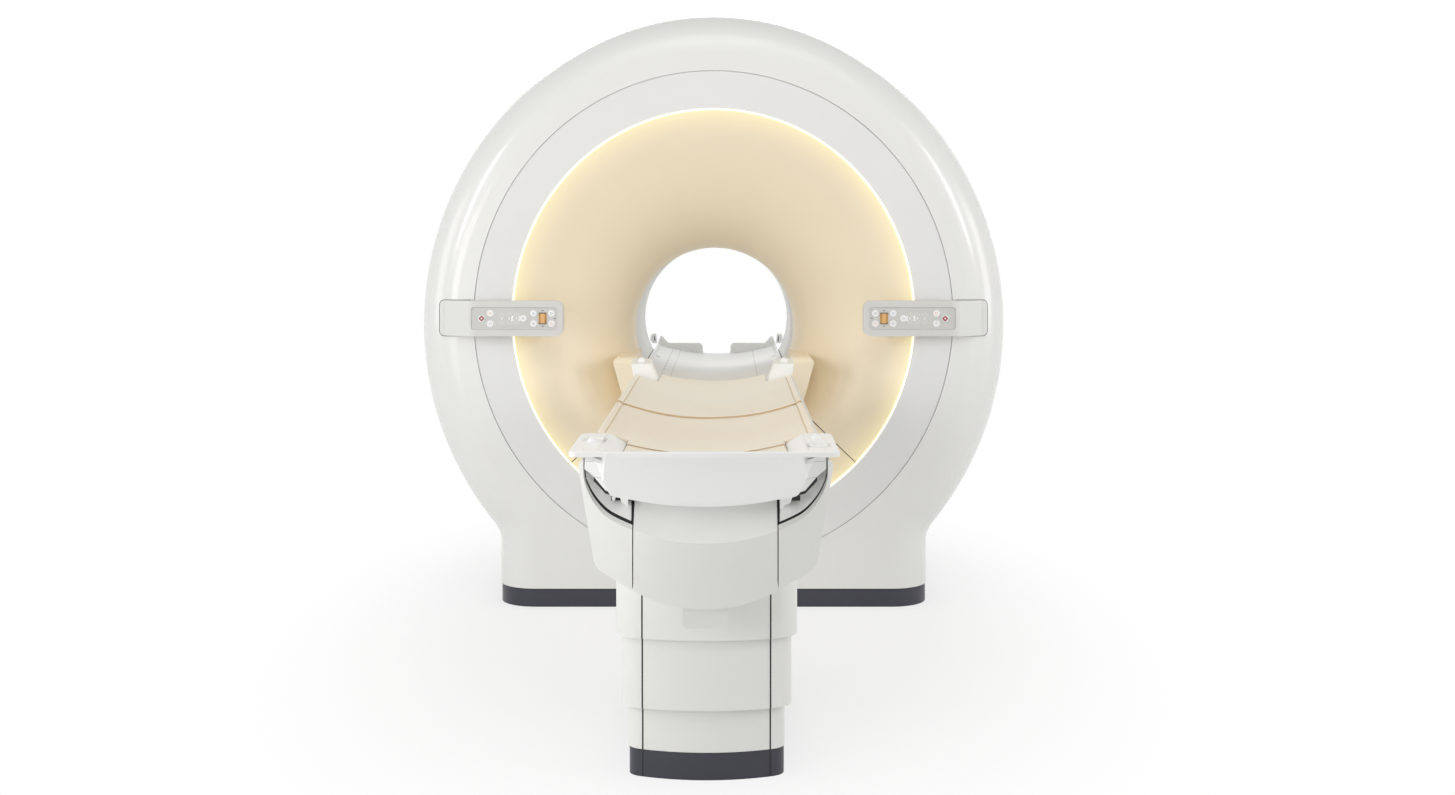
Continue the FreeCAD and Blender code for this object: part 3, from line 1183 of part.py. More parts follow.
os.makedirs("parts", exist_ok=True)
for node, solid in sorted(build().items()):
    solid = solid.copy()
    solid.translate(Vector(0, -MAGNET_LENGTH / 2, 0))
    if not solid.isValid() or solid.Volume <= 0:
        print("check", node, solid.isValid(), round(solid.Volume))
    solid.exportStep("parts/%s.step" % node)
    print("%-28s %8.1f litres" % (node, solid.Volume / 1e6))
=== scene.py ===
import bpy
import bmesh
import json
import math
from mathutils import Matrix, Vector


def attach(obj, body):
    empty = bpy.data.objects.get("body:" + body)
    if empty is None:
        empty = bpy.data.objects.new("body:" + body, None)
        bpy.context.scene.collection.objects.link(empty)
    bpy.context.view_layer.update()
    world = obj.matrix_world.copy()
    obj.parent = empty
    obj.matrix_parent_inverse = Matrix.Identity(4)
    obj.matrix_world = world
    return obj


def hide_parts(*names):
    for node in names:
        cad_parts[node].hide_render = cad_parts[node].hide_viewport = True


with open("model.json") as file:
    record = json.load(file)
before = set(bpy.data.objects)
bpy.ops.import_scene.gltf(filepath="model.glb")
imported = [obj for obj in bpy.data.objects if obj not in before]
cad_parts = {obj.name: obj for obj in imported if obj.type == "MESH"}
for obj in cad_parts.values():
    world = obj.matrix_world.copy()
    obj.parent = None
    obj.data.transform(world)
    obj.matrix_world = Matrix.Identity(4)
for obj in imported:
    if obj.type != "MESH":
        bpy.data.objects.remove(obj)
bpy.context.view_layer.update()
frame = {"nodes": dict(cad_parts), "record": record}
nodes = frame["nodes"]
scene = bpy.context.scene
scene.view_settings.view_transform = "Standard"

# Pieces are drawn in millimetres in the part's drawing frame: x to the right, depth behind the
# magnet's front plane (negative towards the viewer), z above the floor. Materials, the camera and
# the lamps use the row frame in metres.
FRONT = -0.870                      # the magnet's front plane in the row frame
SIDES = ((-1, "left"), (1, "right"))


def at(x, depth, z):
    """A point from millimetres in the drawing frame to metres in the row frame."""
    return Vector((x / 1000, depth / 1000 + FRONT, z / 1000))


# ---- shader helpers ------------------------------------------------------------------------------

def linear(r, g, b):
    """Screen colour 0-255 to linear."""
    def one(c):
        c /= 255
        return c / 12.92 if c <= 0.04045 else ((c + 0.055) / 1.055) ** 2.4
    return (one(r), one(g), one(b), 1)


def object_space(tree):
    """Object coordinates, from the material's one coordinate node."""
    node = tree.nodes.get("Texture Coordinate") or tree.nodes.new("ShaderNodeTexCoord")
    return node.outputs["Object"]


def mapped(tree, kind="POINT", **values):
    """Object coordinates through a mapping node with this Location, Rotation or Scale."""
    node = tree.nodes.new("ShaderNodeMapping")
    node.vector_type = kind
    for key, value in values.items():
        node.inputs[key].default_value = value
    tree.links.new(object_space(tree), node.inputs["Vector"])
    return node.outputs["Vector"]


def noise(tree, size, detail, stretch=None):
    """Noise in object space whose features are about size metres wide."""
    node = tree.nodes.new("ShaderNodeTexNoise")
    node.inputs["Scale"].default_value = 1 / size
    node.inputs["Detail"].default_value = detail
    place = mapped(tree, Scale=stretch) if stretch else object_space(tree)
    tree.links.new(place, node.inputs["Vector"])
    return node.outputs["Fac"]


def spread(tree, source, low, high, new_low, new_high, curve="LINEAR"):
    """A value moved from one range to another."""
    node = tree.nodes.new("ShaderNodeMapRange")
    node.interpolation_type = curve
    limits = {"From Min": low, "From Max": high, "To Min": new_low, "To Max": new_high}
    for key, value in limits.items():
        node.inputs[key].default_value = value
    tree.links.new(source, node.inputs["Value"])
    return node.outputs["Result"]


def calculate(tree, operation, source, other=None):
    """Math node on a socket and, where given, a number or a second socket."""
    node = tree.nodes.new("ShaderNodeMath")
    node.operation = operation
    tree.links.new(source, node.inputs[0])
    if isinstance(other, bpy.types.NodeSocket):
        tree.links.new(other, node.inputs[1])
    elif other is not None:
        node.inputs[1].default_value = other
    return node.outputs["Value"]


def vector_math(tree, operation, source, output, other=None):
    """Vector math node on a socket and, where given, a fixed vector."""
    node = tree.nodes.new("ShaderNodeVectorMath")
    node.operation = operation
    tree.links.new(source, node.inputs[0])
    if other is not None:
        node.inputs[1].default_value = other
    return node.outputs[output]


def relief(tree, height, strength, distance, under=None):
    """Normal of a bump, laid over an earlier normal where one is given."""
    node = tree.nodes.new("ShaderNodeBump")
    node.inputs["Strength"].default_value = strength
    node.inputs["Distance"].default_value = distance
    tree.links.new(height, node.inputs["Height"])
    if under:
        tree.links.new(under, node.inputs["Normal"])
    return node.outputs["Normal"]


def colour_by(tree, factor, first, second):
    """Base colour from first, a colour or a socket, to second, a colour."""
    mix = tree.nodes.new("ShaderNodeMix")
    mix.data_type = "RGBA"
    tree.links.new(factor, mix.inputs["Factor"])
    if isinstance(first, bpy.types.NodeSocket):
        tree.links.new(first, mix.inputs["A"])
    else:
        mix.inputs["A"].default_value = first
    mix.inputs["B"].default_value = second
    base = tree.nodes["Principled BSDF"].inputs["Base Color"]
    tree.links.new(mix.outputs["Result"], base)


def material(name, colour, rough, coat=0.0, metal=0.0, shade=0.03, shade_size=0.35, grain=0.0,
             grain_size=0.0016, smear=0.05, stretch=None, sheen=0.0, second=None):
    """Moulded or painted surface: soft colour drift, uneven gloss and a fine grain or orange peel.

    The colour drifts to second or, without one, to itself darkened by shade.
    """
    mat = bpy.data.materials.new(name)
    mat.use_nodes = True
    tree = mat.node_tree
    shader = tree.nodes["Principled BSDF"]
    shader.inputs["Metallic"].default_value = metal
    shader.inputs["Roughness"].default_value = rough
    shader.inputs["Coat Weight"].default_value = coat
    shader.inputs["Coat Roughness"].default_value = 0.12
    if sheen:
        shader.inputs["Sheen Weight"].default_value = sheen
        shader.inputs["Sheen Roughness"].default_value = 0.4
    main = linear(*colour)
    other = linear(*second) if second else tuple(c * (1 - shade) for c in main[:3]) + (1,)
    drift = noise(tree, shade_size, 4.0, stretch)
    colour_by(tree, spread(tree, drift, 0.35, 0.65, 0, 1), other, main)
    if smear:
        patches = noise(tree, shade_size / 4, 5.0, stretch)
        gloss = spread(tree, patches, 0.3, 0.7, rough - smear, rough + smear)
        tree.links.new(gloss, shader.inputs["Roughness"])
    if grain:
        normal = relief(tree, noise(tree, grain_size, 2.0, stretch), grain, grain_size / 3)
        tree.links.new(normal, shader.inputs["Normal"])
    return mat


def tint_where(mat, normal, level, reach, colour, mirror=False, beyond=False):
    """Another colour within reach of a plane, or beyond it.

    The plane is where the dot product with normal is level, in metres of the row frame; mirror
    folds the left half onto the right.
    """
    tree = mat.node_tree
    before = tree.nodes["Principled BSDF"].inputs["Base Color"].links[0].from_socket
    source = object_space(tree)
    if mirror:
        source = vector_math(tree, "ABSOLUTE", source, "Vector")
    along = vector_math(tree, "DOT_PRODUCT", source, "Value", normal)
    away = calculate(tree, "SUBTRACT", along, level)
    if beyond:
        part = spread(tree, away, -reach, reach, 0, 1)
    else:
        part = spread(tree, calculate(tree, "ABSOLUTE", away), reach, reach + 0.0006, 1, 0)
    colour_by(tree, part, before, linear(*colour))


# ---- materials -----------------------------------------------------------------------------------

FINISHES = {                        # screen colour, roughness, other settings of material()
    "cover_gloss": ((238, 238, 235), 0.27, dict(
        coat=0.35, shade=0.006, grain=0.002, grain_size=0.16, smear=0.0)),
    "ring_matte": ((236, 236, 235), 0.55, dict(shade=0.015, grain=0.08)),
    "liner_grey": ((230, 230, 227), 0.45, dict(shade=0.03, grain=0.06)),
    "skirt_dark": ((56, 56, 67), 0.42, dict(shade=0.12, grain=0.12, smear=0.08)),
    "frame_dark": ((46, 46, 50), 0.5, dict(shade=0.15, grain=0.2)),
    "vessel_steel": ((196, 198, 200), 0.35, dict(
        metal=1.0, shade=0.08, grain=0.1, stretch=(1, 12, 1))),
    "coil_resin": ((150, 128, 92), 0.5, dict(shade=0.15, grain=0.1)),
    "guide_alloy": ((205, 207, 208), 0.32, dict(
        metal=0.9, shade=0.06, grain=0.1, stretch=(1, 1, 12))),
    "bridge_grey": ((228, 228, 226), 0.42, dict(shade=0.02, grain=0.08)),
    "panel_white": ((218, 217, 213), 0.38, dict(shade=0.01, grain=0.06)),
    "keypad_grey": ((210, 209, 205), 0.5, dict(shade=0.015, grain=0.12, grain_size=0.0008)),
    "button_grey": ((250, 250, 250), 0.4, dict(shade=0.01, grain=0.05)),
    "button_stop": ((238, 244, 240), 0.35, dict(shade=0.01, grain=0.05)),
    "toggle_amber": ((206, 152, 84), 0.42, dict(
        shade_size=0.03, grain=0.08, stretch=(6, 1, 1), second=(186, 130, 64))),
    "column_white": ((240, 240, 236), 0.42, dict(coat=0.05, shade=0.01, grain=0.05, smear=0.0)),
    "head_white": ((234, 234, 230), 0.36, dict(coat=0.1, shade=0.01, grain=0.04, smear=0.0)),
    "beam_white": ((230, 230, 228), 0.4, dict(shade=0.03, grain=0.1)),
    "board_white": ((240, 240, 237), 0.35, dict(shade=0.01, grain=0.04, smear=0.02)),
    "cap_white": ((250, 250, 248), 0.42, dict(
        coat=0.08, shade=0.006, grain=0.002, grain_size=0.12, smear=0.0)),
    # Black of painted shade, for gaps, slots and grooves.
    "painted_gap_shade": ((26, 26, 28), 0.6, dict(shade=0.2, grain=0.1)),
    "mark_faint": ((240, 240, 238), 0.45, dict(shade=0.01, shade_size=0.02, grain=0.03)),
    # Soft grey for outlines and rims, and for painted shade along creases.
    "mark_soft_and_shade": ((188, 188, 184), 0.5, dict(shade=0.03, shade_size=0.05, grain=0.05)),
    "mark_shade": ((222, 222, 219), 0.45, dict(shade=0.02, shade_size=0.05, grain=0.03)),
    # Dark grey for print and seams, and for painted shade in recesses and slots.
    "mark_dark_and_shade": ((96, 96, 98), 0.5, dict(shade=0.1, shade_size=0.02, grain=0.05)),
    "mark_white": ((252, 252, 252), 0.35, dict(shade=0.01, shade_size=0.02, grain=0.03)),
    "mark_red": ((170, 36, 66), 0.35, dict(shade=0.1, shade_size=0.01, grain=0.05)),
    "mark_blue": ((150, 178, 205), 0.4, dict(shade=0.05, shade_size=0.01, grain=0.05)),
    "mark_orange": ((226, 176, 120), 0.4, dict(shade=0.05, shade_size=0.01, grain=0.05)),
    "mark_grey": ((176, 178, 180), 0.4, dict(shade=0.05, shade_size=0.01, grain=0.05)),
    "screw_steel": ((190, 192, 194), 0.3, dict(metal=1.0, shade=0.05, shade_size=0.01, grain=0.1)),
}
MAT = {name: material(name, colour, rough, **rest)
       for name, (colour, rough, rest) in FINISHES.items()}

LIGHT_HALF_WIDTH, LIGHT_HALF_HEIGHT, LIGHT_MIDDLE = 0.821, 0.850, 1.186     # oval line of light
SEAM_ANGLE = math.radians(42)       # seams of the lower funnel, below the horizontal
SEAM_MIDDLE = 1.114                 # height where their planes meet


def funnel_material():
    """Beige lacquer with painted light: an emission glow along its outer edge stands in for the
    ring's light, so it is darker towards the bore.
    """
    mat = material("funnel_beige", (249, 235, 208), 0.4, coat=0.12, shade=0.02, grain=0.04,
                   grain_size=0.003)
    tree = mat.node_tree
    shader = tree.nodes["Principled BSDF"]
    place = mapped(tree, "TEXTURE", Location=(0, 0, LIGHT_MIDDLE),
                   Scale=(LIGHT_HALF_WIDTH, 1e6, LIGHT_HALF_HEIGHT))
    distance = vector_math(tree, "LENGTH", place, "Value")      # 1 on the line of light
    # Painted light: emission that rises towards the line of light.
    fall = calculate(tree, "POWER", spread(tree, distance, 0.82, 1.0, 0, 1), 2.6)
    tree.links.new(spread(tree, fall, 0, 1, 0, 0.19), shader.inputs["Emission Strength"])
    shader.inputs["Emission Color"].default_value = linear(255, 240, 132)
    across = (math.sin(SEAM_ANGLE), 0, math.cos(SEAM_ANGLE))
    tint_where(mat, across, SEAM_MIDDLE * math.cos(SEAM_ANGLE), 0.0016, (92, 66, 34), mirror=True)
    return mat


def ring_light_material():
    mat = material("light_strip", (255, 250, 232), 0.5, shade=0.02, grain=0.05)
    shader = mat.node_tree.nodes["Principled BSDF"]
    shader.inputs["Emission Color"].default_value = linear(255, 246, 214)
    shader.inputs["Emission Strength"].default_value = 0.72
    return mat


def vinyl_material():
    """Coated cloth of the mattress: fine weave print under a soft sheen, faint creases."""
    mat = material("pad_beige", (252, 241, 221), 0.5, shade_size=0.5, sheen=0.15,
                   second=(249, 236, 214))
    tree = mat.node_tree
    threads = []
    for angle in (0.6, -0.6):
        wave = tree.nodes.new("ShaderNodeTexWave")
        wave.inputs["Scale"].default_value = 260
        wave.inputs["Distortion"].default_value = 0.6
        tree.links.new(mapped(tree, Rotation=(0, 0, angle)), wave.inputs["Vector"])
        threads.append(wave.outputs["Fac"])
    weave = relief(tree, calculate(tree, "ADD", *threads), 0.12, 0.0006)
    creases = noise(tree, 0.09, 2.0, (1, 0.35, 1))
    shader = tree.nodes["Principled BSDF"]
    tree.links.new(relief(tree, creases, 0.12, 0.01, weave), shader.inputs["Normal"])
    return mat


MAT["funnel_beige"] = funnel_material()
MAT["light_strip"] = ring_light_material()
MAT["pad_beige"] = vinyl_material()
MAT["apron_painted_light"] = MAT["head_white"].copy()
MAT["apron_painted_light"].name = "apron_painted_light"

APRON_NODES = ("head_front_panel", "left_saddle", "right_saddle")
for part in frame["record"]["subparts"]:
    finish = "apron_painted_light" if part["node"] in APRON_NODES else part["material_slot"]
    mesh_data = nodes[part["node"]].data
    mesh_data.materials.clear()
    mesh_data.materials.append(MAT[finish])


# ---- building helpers ----------------------------------------------------------------------------

def new_object(name, verts, faces, mat, body, smooth):
    """Closed mesh in row-frame metres that rides on a CAD body."""
    mesh = bpy.data.meshes.new(name)
    mesh.from_pydata([tuple(v) for v in verts], [], faces)
    mesh.validate()
    work = bmesh.new()
    work.from_mesh(mesh)
    bmesh.ops.recalc_face_normals(work, faces=work.faces)
    work.to_mesh(mesh)
    work.free()
    obj = bpy.data.objects.new(name, mesh)
    scene.collection.objects.link(obj)
    mesh.materials.append(MAT[mat])
    for face in mesh.polygons:
        face.use_smooth = smooth
    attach(obj, body)
    return obj


def skin(name, rings, closed, mat, body, smooth=False):
    """Mesh over rings of equally many points: closed into a loop, or with a cap at each end."""
    size, count = len(rings[0]), len(rings)
    faces = []
    for i in range(count if closed else count - 1):
        j = (i + 1) % count
        for k in range(size):
            m = (k + 1) % size
            faces.append([size * i + k, size * i + m, size * j + m, size * j + k])
    if not closed:
        faces += [list(range(size)), list(range(size * (count - 1), size * count))]
    verts = [point for ring in rings for point in ring]
    return new_object(name, verts, faces, mat, body, smooth)


def prism(name, outline, axis, start, end, mat, body, edge=0.0):
    """Outline extruded along y, drawn in (x, z), or along z, drawn in (x, depth).

    With an edge, in millimetres, its corners are rounded.
    """
    def place(u, v, level):
        return at(u, level, v) if axis == "y" else at(u, v, level)
    rings = [[place(u, v, level) for u, v in outline] for level in (start, end)]
    obj = skin(name, rings, False, mat, body, smooth=edge > 0)
    if edge:
        bevel = obj.modifiers.new("edges", "BEVEL")
        bevel.width = edge / 1000
        bevel.segments = 2
        bevel.limit_method = "ANGLE"
        bevel.angle_limit = math.radians(35)
        bevel.harden_normals = True


def circle(u, v, radius, count=32):
    turns = [2 * math.pi * i / count for i in range(count)]
    return [(u + radius * math.cos(turn), v + radius * math.sin(turn)) for turn in turns]


def rectangle(u, v, half_u, half_v):
    return [(u - half_u, v - half_v), (u + half_u, v - half_v),
            (u + half_u, v + half_v), (u - half_u, v + half_v)]


def mirrored(side, outline):
    return [(side * u, v) for u, v in outline]


def washer(name, x, z, outer, inner, front, back, mat, body, slot, power=2.0, count=32):
    """Flat ring facing the viewer; power under 2 turns its rim into a rounded diamond."""
    def rim(radius, angle, p):
        c, s = math.cos(angle), math.sin(angle)
        size = (abs(c) ** p + abs(s) ** p) ** (-1 / p)
        return x + radius * size * c, z + radius * size * s
    rings = []
    for i in range(count):
        angle = 2 * math.pi * i / count
        ou, ov = rim(outer, angle, power)
        iu, iv = rim(inner, angle, 2.0)
        rings.append([at(ou, front, ov), at(iu, front, iv), at(iu, back, iv), at(ou, back, ov)])
    skin(name, rings, True, mat, body)


def flat_ring(name, x, depth, z, outer, inner, high, mat, body, corner=(0.0, 0.0), count=44):
    """Low rounded ring on a level surface; corner moves its quarters apart into an oblong."""
    steps = 6
    rings = []
    for i in range(count):
        angle = 2 * math.pi * (i + 0.5) / count
        c, s = math.cos(angle), math.sin(angle)
        middle_x, middle_y = x + math.copysign(corner[0], c), depth + math.copysign(corner[1], s)
        section = []
        for k in range(steps + 1):
            share = k / steps
            section.append((inner + (outer - inner) * share, high * math.sin(math.pi * share)))
        section.append(((outer + inner) / 2, -0.4))
        rings.append([at(middle_x + radius * c, middle_y + radius * s, z + lift)
                      for radius, lift in section])
    skin(name, rings, True, mat, body, smooth=True)


def band(name, first, second, up, lift, drop, mat, body):
    """Flat strip between two lines of drawing-frame points, lying on a surface with normal up."""
    up = Vector(up).normalized()
    rings = []
    for a, b in zip(first, second):
        a, b = Vector(a), Vector(b)
        corners = (a + up * lift, b + up * lift, b - up * drop, a - up * drop)
        rings.append([at(*corner) for corner in corners])
    skin(name, rings, False, mat, body)


def sag(x, half, edge, middle):
    """Height of an arc that is edge high at half-width half and middle high in the centre."""
    depth = edge - middle
    radius = (half * half + depth * depth) / (2 * depth)
    return middle + radius - math.sqrt(max(radius * radius - x * x, 0))


# ---- mattress ------------------------------------------------------------------------------------

PAD_HALF, PAD_EDGE, PAD_MIDDLE = 303.0, 985.0, 930.0        # half width and heights of its top
BOARD_HALF, BOARD_RIM, BOARD_DIP = 305.0, 968.0, 916.0      # the same of the board under it
BORDER = 283.0                      # crease between the dish and the side border
BORDER_CROWN = 3.0                  # rise of the border beyond it
ROUNDING = 7.0                      # of the rim
UNEVENNESS = 1.2
FAR_END, TONGUE_END, SPLIT, NOTCH_END, NEAR_END = -32.0, -341.0, -1330.0, -2114.0, -2492.0
TONGUE_HALF, FOOT_HALF = 211.0, 218.0       # half widths of the far tongue and of the near end
FOOT_SEAM = NOTCH_END - 90.0
HALF_SPLIT = 0.6                    # half the gap between the two pads
GRID_X, GRID_Y = 16.0, 22.0         # widest cells of the mesh

# Painted light: the mattress is paler towards the magnet, where light from the bore falls on it.
tint_where(MAT["pad_beige"], (0, 1, 0), -1.75, 0.55, (255, 250, 236), beyond=True)
# Painted shade: darker lines where its covers meet, at the split between the pads and at the sewn
# seam near the foot, stand in for the shade in their steps.
tint_where(MAT["pad_beige"], (0, 1, 0), FRONT + (SPLIT + 2.5) / 1000, 0.0017, (204, 174, 130))
tint_where(MAT["pad_beige"], (0, 1, 0), FRONT + (FOOT_SEAM + 2.0) / 1000, 0.0014, (190, 160, 120))
# Painted shade: darker lines along the creases beside the borders.
tint_where(MAT["pad_beige"], (1, 0, 0), BORDER / 1000, 0.0012, (214, 192, 156), mirror=True)


def outline_distance(x, y, corners):
    """Signed distance from a closed outline, negative inside."""
    best, inside = 1e9, False
    count = len(corners)
    for i in range(count):
        ax, ay = corners[i]
        bx, by = corners[(i + 1) % count]
        ex, ey = bx - ax, by - ay
        t = max(0.0, min(1.0, ((x - ax) * ex + (y - ay) * ey) / (ex * ex + ey * ey)))
        best = min(best, math.hypot(x - ax - t * ex, y - ay - t * ey))
        if (ay > y) != (by > y) and x < ax + (y - ay) * ex / ey:
            inside = not inside
    return -best if inside else best


def lines_with(stops, step):
    """Grid lines at the stops, close together beside each and at most about step apart."""
    fine = (0.0, 1.2, 3.0, 5.5, 9.0)
    lines = set()
    for low, high in zip(stops, stops[1:]):
        for f in fine:
            if low + f < (low + high) / 2:
                lines.add(round(low + f, 3))
                lines.add(round(high - f, 3))
        start, end = low + fine[-1], high - fine[-1]
        count = max(1, round((end - start) / step))
        for i in range(count + 1):
            value = start + (end - start) * i / count
            if low <= value <= high:
                lines.add(round(value, 3))
        lines.add(high)
    out = []
    for value in sorted(lines):
        if not out or value - out[-1] > 0.6:
            out.append(value)
    return out


def both(values):
    return sorted({-v for v in values} | set(values))


def pad(name, node, plan, xs, ys, dips=()):
    """Sewn foam pad: dished like the board, rounded along its rim, creased beside its borders.

    Each dip (place, width, deep) falls gently from the magnet's side to a seam at place.
    """
    verts, index = [], {}

    def groove(away, width, deep):
        return deep * (0.5 + 0.5 * math.cos(math.pi * away / width)) if away < width else 0.0

    def top(x, y, inner):
        height = sag(x, PAD_HALF, PAD_EDGE, PAD_MIDDLE)
        border = max(0.0, abs(x) - BORDER) / (PAD_HALF - BORDER)
        height += BORDER_CROWN * math.sin(math.pi * min(1.0, border))
        height -= groove(abs(abs(x) - BORDER), 4.5, 2.6)
        for place, width, deep in dips:
            if y <= place:
                height -= groove(place - y, width, deep)
        soft = 1 - min(1.0, inner / ROUNDING)
        height -= ROUNDING * (1 - math.sqrt(max(0.0, 1 - soft * soft)))
        wave = math.sin(x * 0.021 + y * 0.004) * math.sin(y * 0.013)
        return height + UNEVENNESS * wave * (1 - soft)

    def bottom(x):
        return sag(min(abs(x), BOARD_HALF), BOARD_HALF, BOARD_RIM, BOARD_DIP) + 0.6

    def vertex(i, j, level):
        key = (i, j, level)
        if key not in index:
            x, y = xs[i], ys[j]
            inner = max(0.0, -outline_distance(x, y, plan))
            index[key] = len(verts)
            verts.append(at(x, y, top(x, y, inner) if level else bottom(x)))
        return index[key]

    cells = set()
    for i in range(len(xs) - 1):
        for j in range(len(ys) - 1):
            if outline_distance((xs[i] + xs[i + 1]) / 2, (ys[j] + ys[j + 1]) / 2, plan) < 0:
                cells.add((i, j))
    faces = []
    for i, j in sorted(cells):
        ring = [(i, j), (i + 1, j), (i + 1, j + 1), (i, j + 1)]
        faces.append([vertex(a, b, 1) for a, b in ring])
        faces.append([vertex(a, b, 0) for a, b in reversed(ring)])
        for k, (di, dj) in enumerate(((0, -1), (1, 0), (0, 1), (-1, 0))):
            if (i + di, j + dj) not in cells:
                p, q = ring[k], ring[(k + 1) % 4]
                faces.append([vertex(*p, 0), vertex(*q, 0), vertex(*q, 1), vertex(*p, 1)])
    obj = new_object(name, verts, faces, "pad_beige", "tabletop", smooth=True)
    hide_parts(node)


def make_mattress():
    start, end = SPLIT + HALF_SPLIT, SPLIT - HALF_SPLIT
    head_plan = [(-PAD_HALF, start), (PAD_HALF, start), (PAD_HALF, TONGUE_END),
                 (TONGUE_HALF, TONGUE_END), (TONGUE_HALF, FAR_END), (-TONGUE_HALF, FAR_END),
                 (-TONGUE_HALF, TONGUE_END), (-PAD_HALF, TONGUE_END)]
    pad("head_pad", "head_mattress", head_plan,
        both(lines_with([0.0, TONGUE_HALF, BORDER, PAD_HALF], GRID_X)),
        lines_with([start, TONGUE_END, FAR_END], GRID_Y))
    foot_plan = [(-FOOT_HALF, NEAR_END), (FOOT_HALF, NEAR_END), (FOOT_HALF, NOTCH_END),
                 (PAD_HALF, NOTCH_END), (PAD_HALF, end), (-PAD_HALF, end),
                 (-PAD_HALF, NOTCH_END), (-FOOT_HALF, NOTCH_END)]
    pad("foot_pad", "foot_mattress", foot_plan,
        both(lines_with([0.0, FOOT_HALF, BORDER, PAD_HALF], GRID_X)),
        lines_with([NEAR_END, FOOT_SEAM, NOTCH_END, end], GRID_Y),
        dips=((FOOT_SEAM, 90.0, 4.0), (SPLIT, 120.0, 5.5)))
    eyelet_x = 276
    height = sag(eyelet_x, PAD_HALF, PAD_EDGE, PAD_MIDDLE) - 5.5
    for side, word in SIDES:
        prism(word + "_seam_eyelet", circle(side * eyelet_x, SPLIT - 4, 4.0, 24), "z",
              height - 0.3, height + 1.6, "mark_dark_and_shade", "tabletop")


# ---- control panels ------------------------------------------------------------------------------

PANEL_Z = 1183.0
KEY_FACE = -36.0                    # keypad face, depth
BUTTON_FACE = -38.0
STOP_FACE = -41.0
STOP_X, TOGGLE_X = 943, 695
FLUSH_X = 985                       # from here outwards a housing lies flush in the cover
BUTTONS = {                         # |x|, height from the middle, print colour
    "outer_upper": (908, 21, "mark_orange"), "outer_lower": (908, -21, "mark_grey"),
    "middle": (774, 0, "mark_grey"), "near_upper": (732, 21, "mark_blue"),
    "near_lower": (732, -21, "mark_grey"), "far_upper": (659, 21, "mark_grey"),
    "far_lower": (659, -21, "mark_orange")}
BUTTON_PRINT, BUTTON_RIM = (5.6, 3.6), (15.6, 13.9)         # outer and inner radius
STOP_PRINT, STOP_RIM = (11.8, 4.0), (18.5, 15.0)
PRINT, SUNK = 0.25, 0.2             # how far printed marks stand out of a face and reach into it
LAMP_COLUMNS, LAMP_RISE, LAMP_RING = (861, 831, 801), 14.0, (9.6, 8.4)
DOT_RADIUS = 3.0
PICTURE_COLUMNS = (818, 788)
PICTURE = ((-4.5, -11), (4.0, -11), (5.0, -2), (3.2, 8), (-1.0, 11.5), (-4.5, 10.5), (-2.5, 2))
TICKS = ((695, 31.5), (695, -31.5), (646, 0))
TICK = (4.2, 1.6)                   # half width and half height
TOGGLE_RIB, RIB_COUNT, RIB_STEP = (12.5, 0.9), 5, 7
# Painted shade: dark strips at the rocker's ends and dark corners stand in for the shade in its
# recess.
TOGGLE_END_SHADE, END_RISE = (14.6, 1.5), 21.4    # dark ends, above and below the rocker's middle
TOGGLE_CORNER_SHADE, CORNER_X, CORNER_DROP = (1.4, 1.8), 14.2, 3.2

# The outer end of a housing is almost as white as the cover.
tint_where(MAT["panel_white"], (1, 0, 0), FLUSH_X / 1000, 0.02, (230, 230, 227), mirror=True,
           beyond=True)
# Painted highlight: the rocker is brighter along its middle.
tint_where(MAT["toggle_amber"], (1, 0, 0), TOGGLE_X / 1000, 0.0075, (228, 184, 122), mirror=True)


def key_mark(name, outline, mat):
    """Printed mark on a keypad."""
    prism(name, outline, "y", KEY_FACE - PRINT, KEY_FACE + SUNK, mat, "magnet")


def make_panel(side, word):
    for name, (x, rise, colour) in BUTTONS.items():
        z = PANEL_Z + rise
        washer("%s_print_%s" % (word, name), side * x, z, *BUTTON_PRINT, BUTTON_FACE - PRINT,
               BUTTON_FACE + SUNK, colour, "%s_%s_button" % (word, name), "button_grey", power=1.6)
        washer("%s_rim_%s" % (word, name), side * x, z, *BUTTON_RIM, KEY_FACE - 0.5,
               KEY_FACE + 0.3, "panel_white", "magnet", "keypad_grey")
    washer(word + "_print_stop", side * STOP_X, PANEL_Z, *STOP_PRINT, STOP_FACE - 0.4,
           STOP_FACE + 0.3, "mark_red", word + "_stop_button", "button_stop", power=1.12)
    washer(word + "_rim_stop", side * STOP_X, PANEL_Z, *STOP_RIM, KEY_FACE - 0.8,
           KEY_FACE + 0.3, "panel_white", "magnet", "keypad_grey")
    for column, x in enumerate(LAMP_COLUMNS):
        for row in (-1, 1):
            z = PANEL_Z + row * LAMP_RISE
            washer("%s_lamp_%d_%d" % (word, column, row), side * x, z, *LAMP_RING,
                   KEY_FACE - PRINT, KEY_FACE + SUNK, "mark_faint", "magnet", "keypad_grey")
            arrow = [(side * (x - 4.5), z - row * 1.5), (side * x, z + row * 4.0),
                     (side * (x + 4.5), z - row * 1.5), (side * x, z + row * 1.6)]
            key_mark("%s_arrow_%d_%d" % (word, column, row), arrow, "mark_faint")
        key_mark("%s_dot_%d" % (word, column), circle(side * x, PANEL_Z, DOT_RADIUS), "mark_white")
    for number, x in enumerate(PICTURE_COLUMNS):
        outline = [(side * (x + u), PANEL_Z + v) for u, v in PICTURE]
        key_mark("%s_picture_%d" % (word, number), outline, "mark_white")
    make_toggle(side * TOGGLE_X, word)
    for number, (x, z) in enumerate(TICKS):
        key_mark("%s_tick_%d" % (word, number), rectangle(side * x, PANEL_Z + z, *TICK),
                 "mark_dark_and_shade")


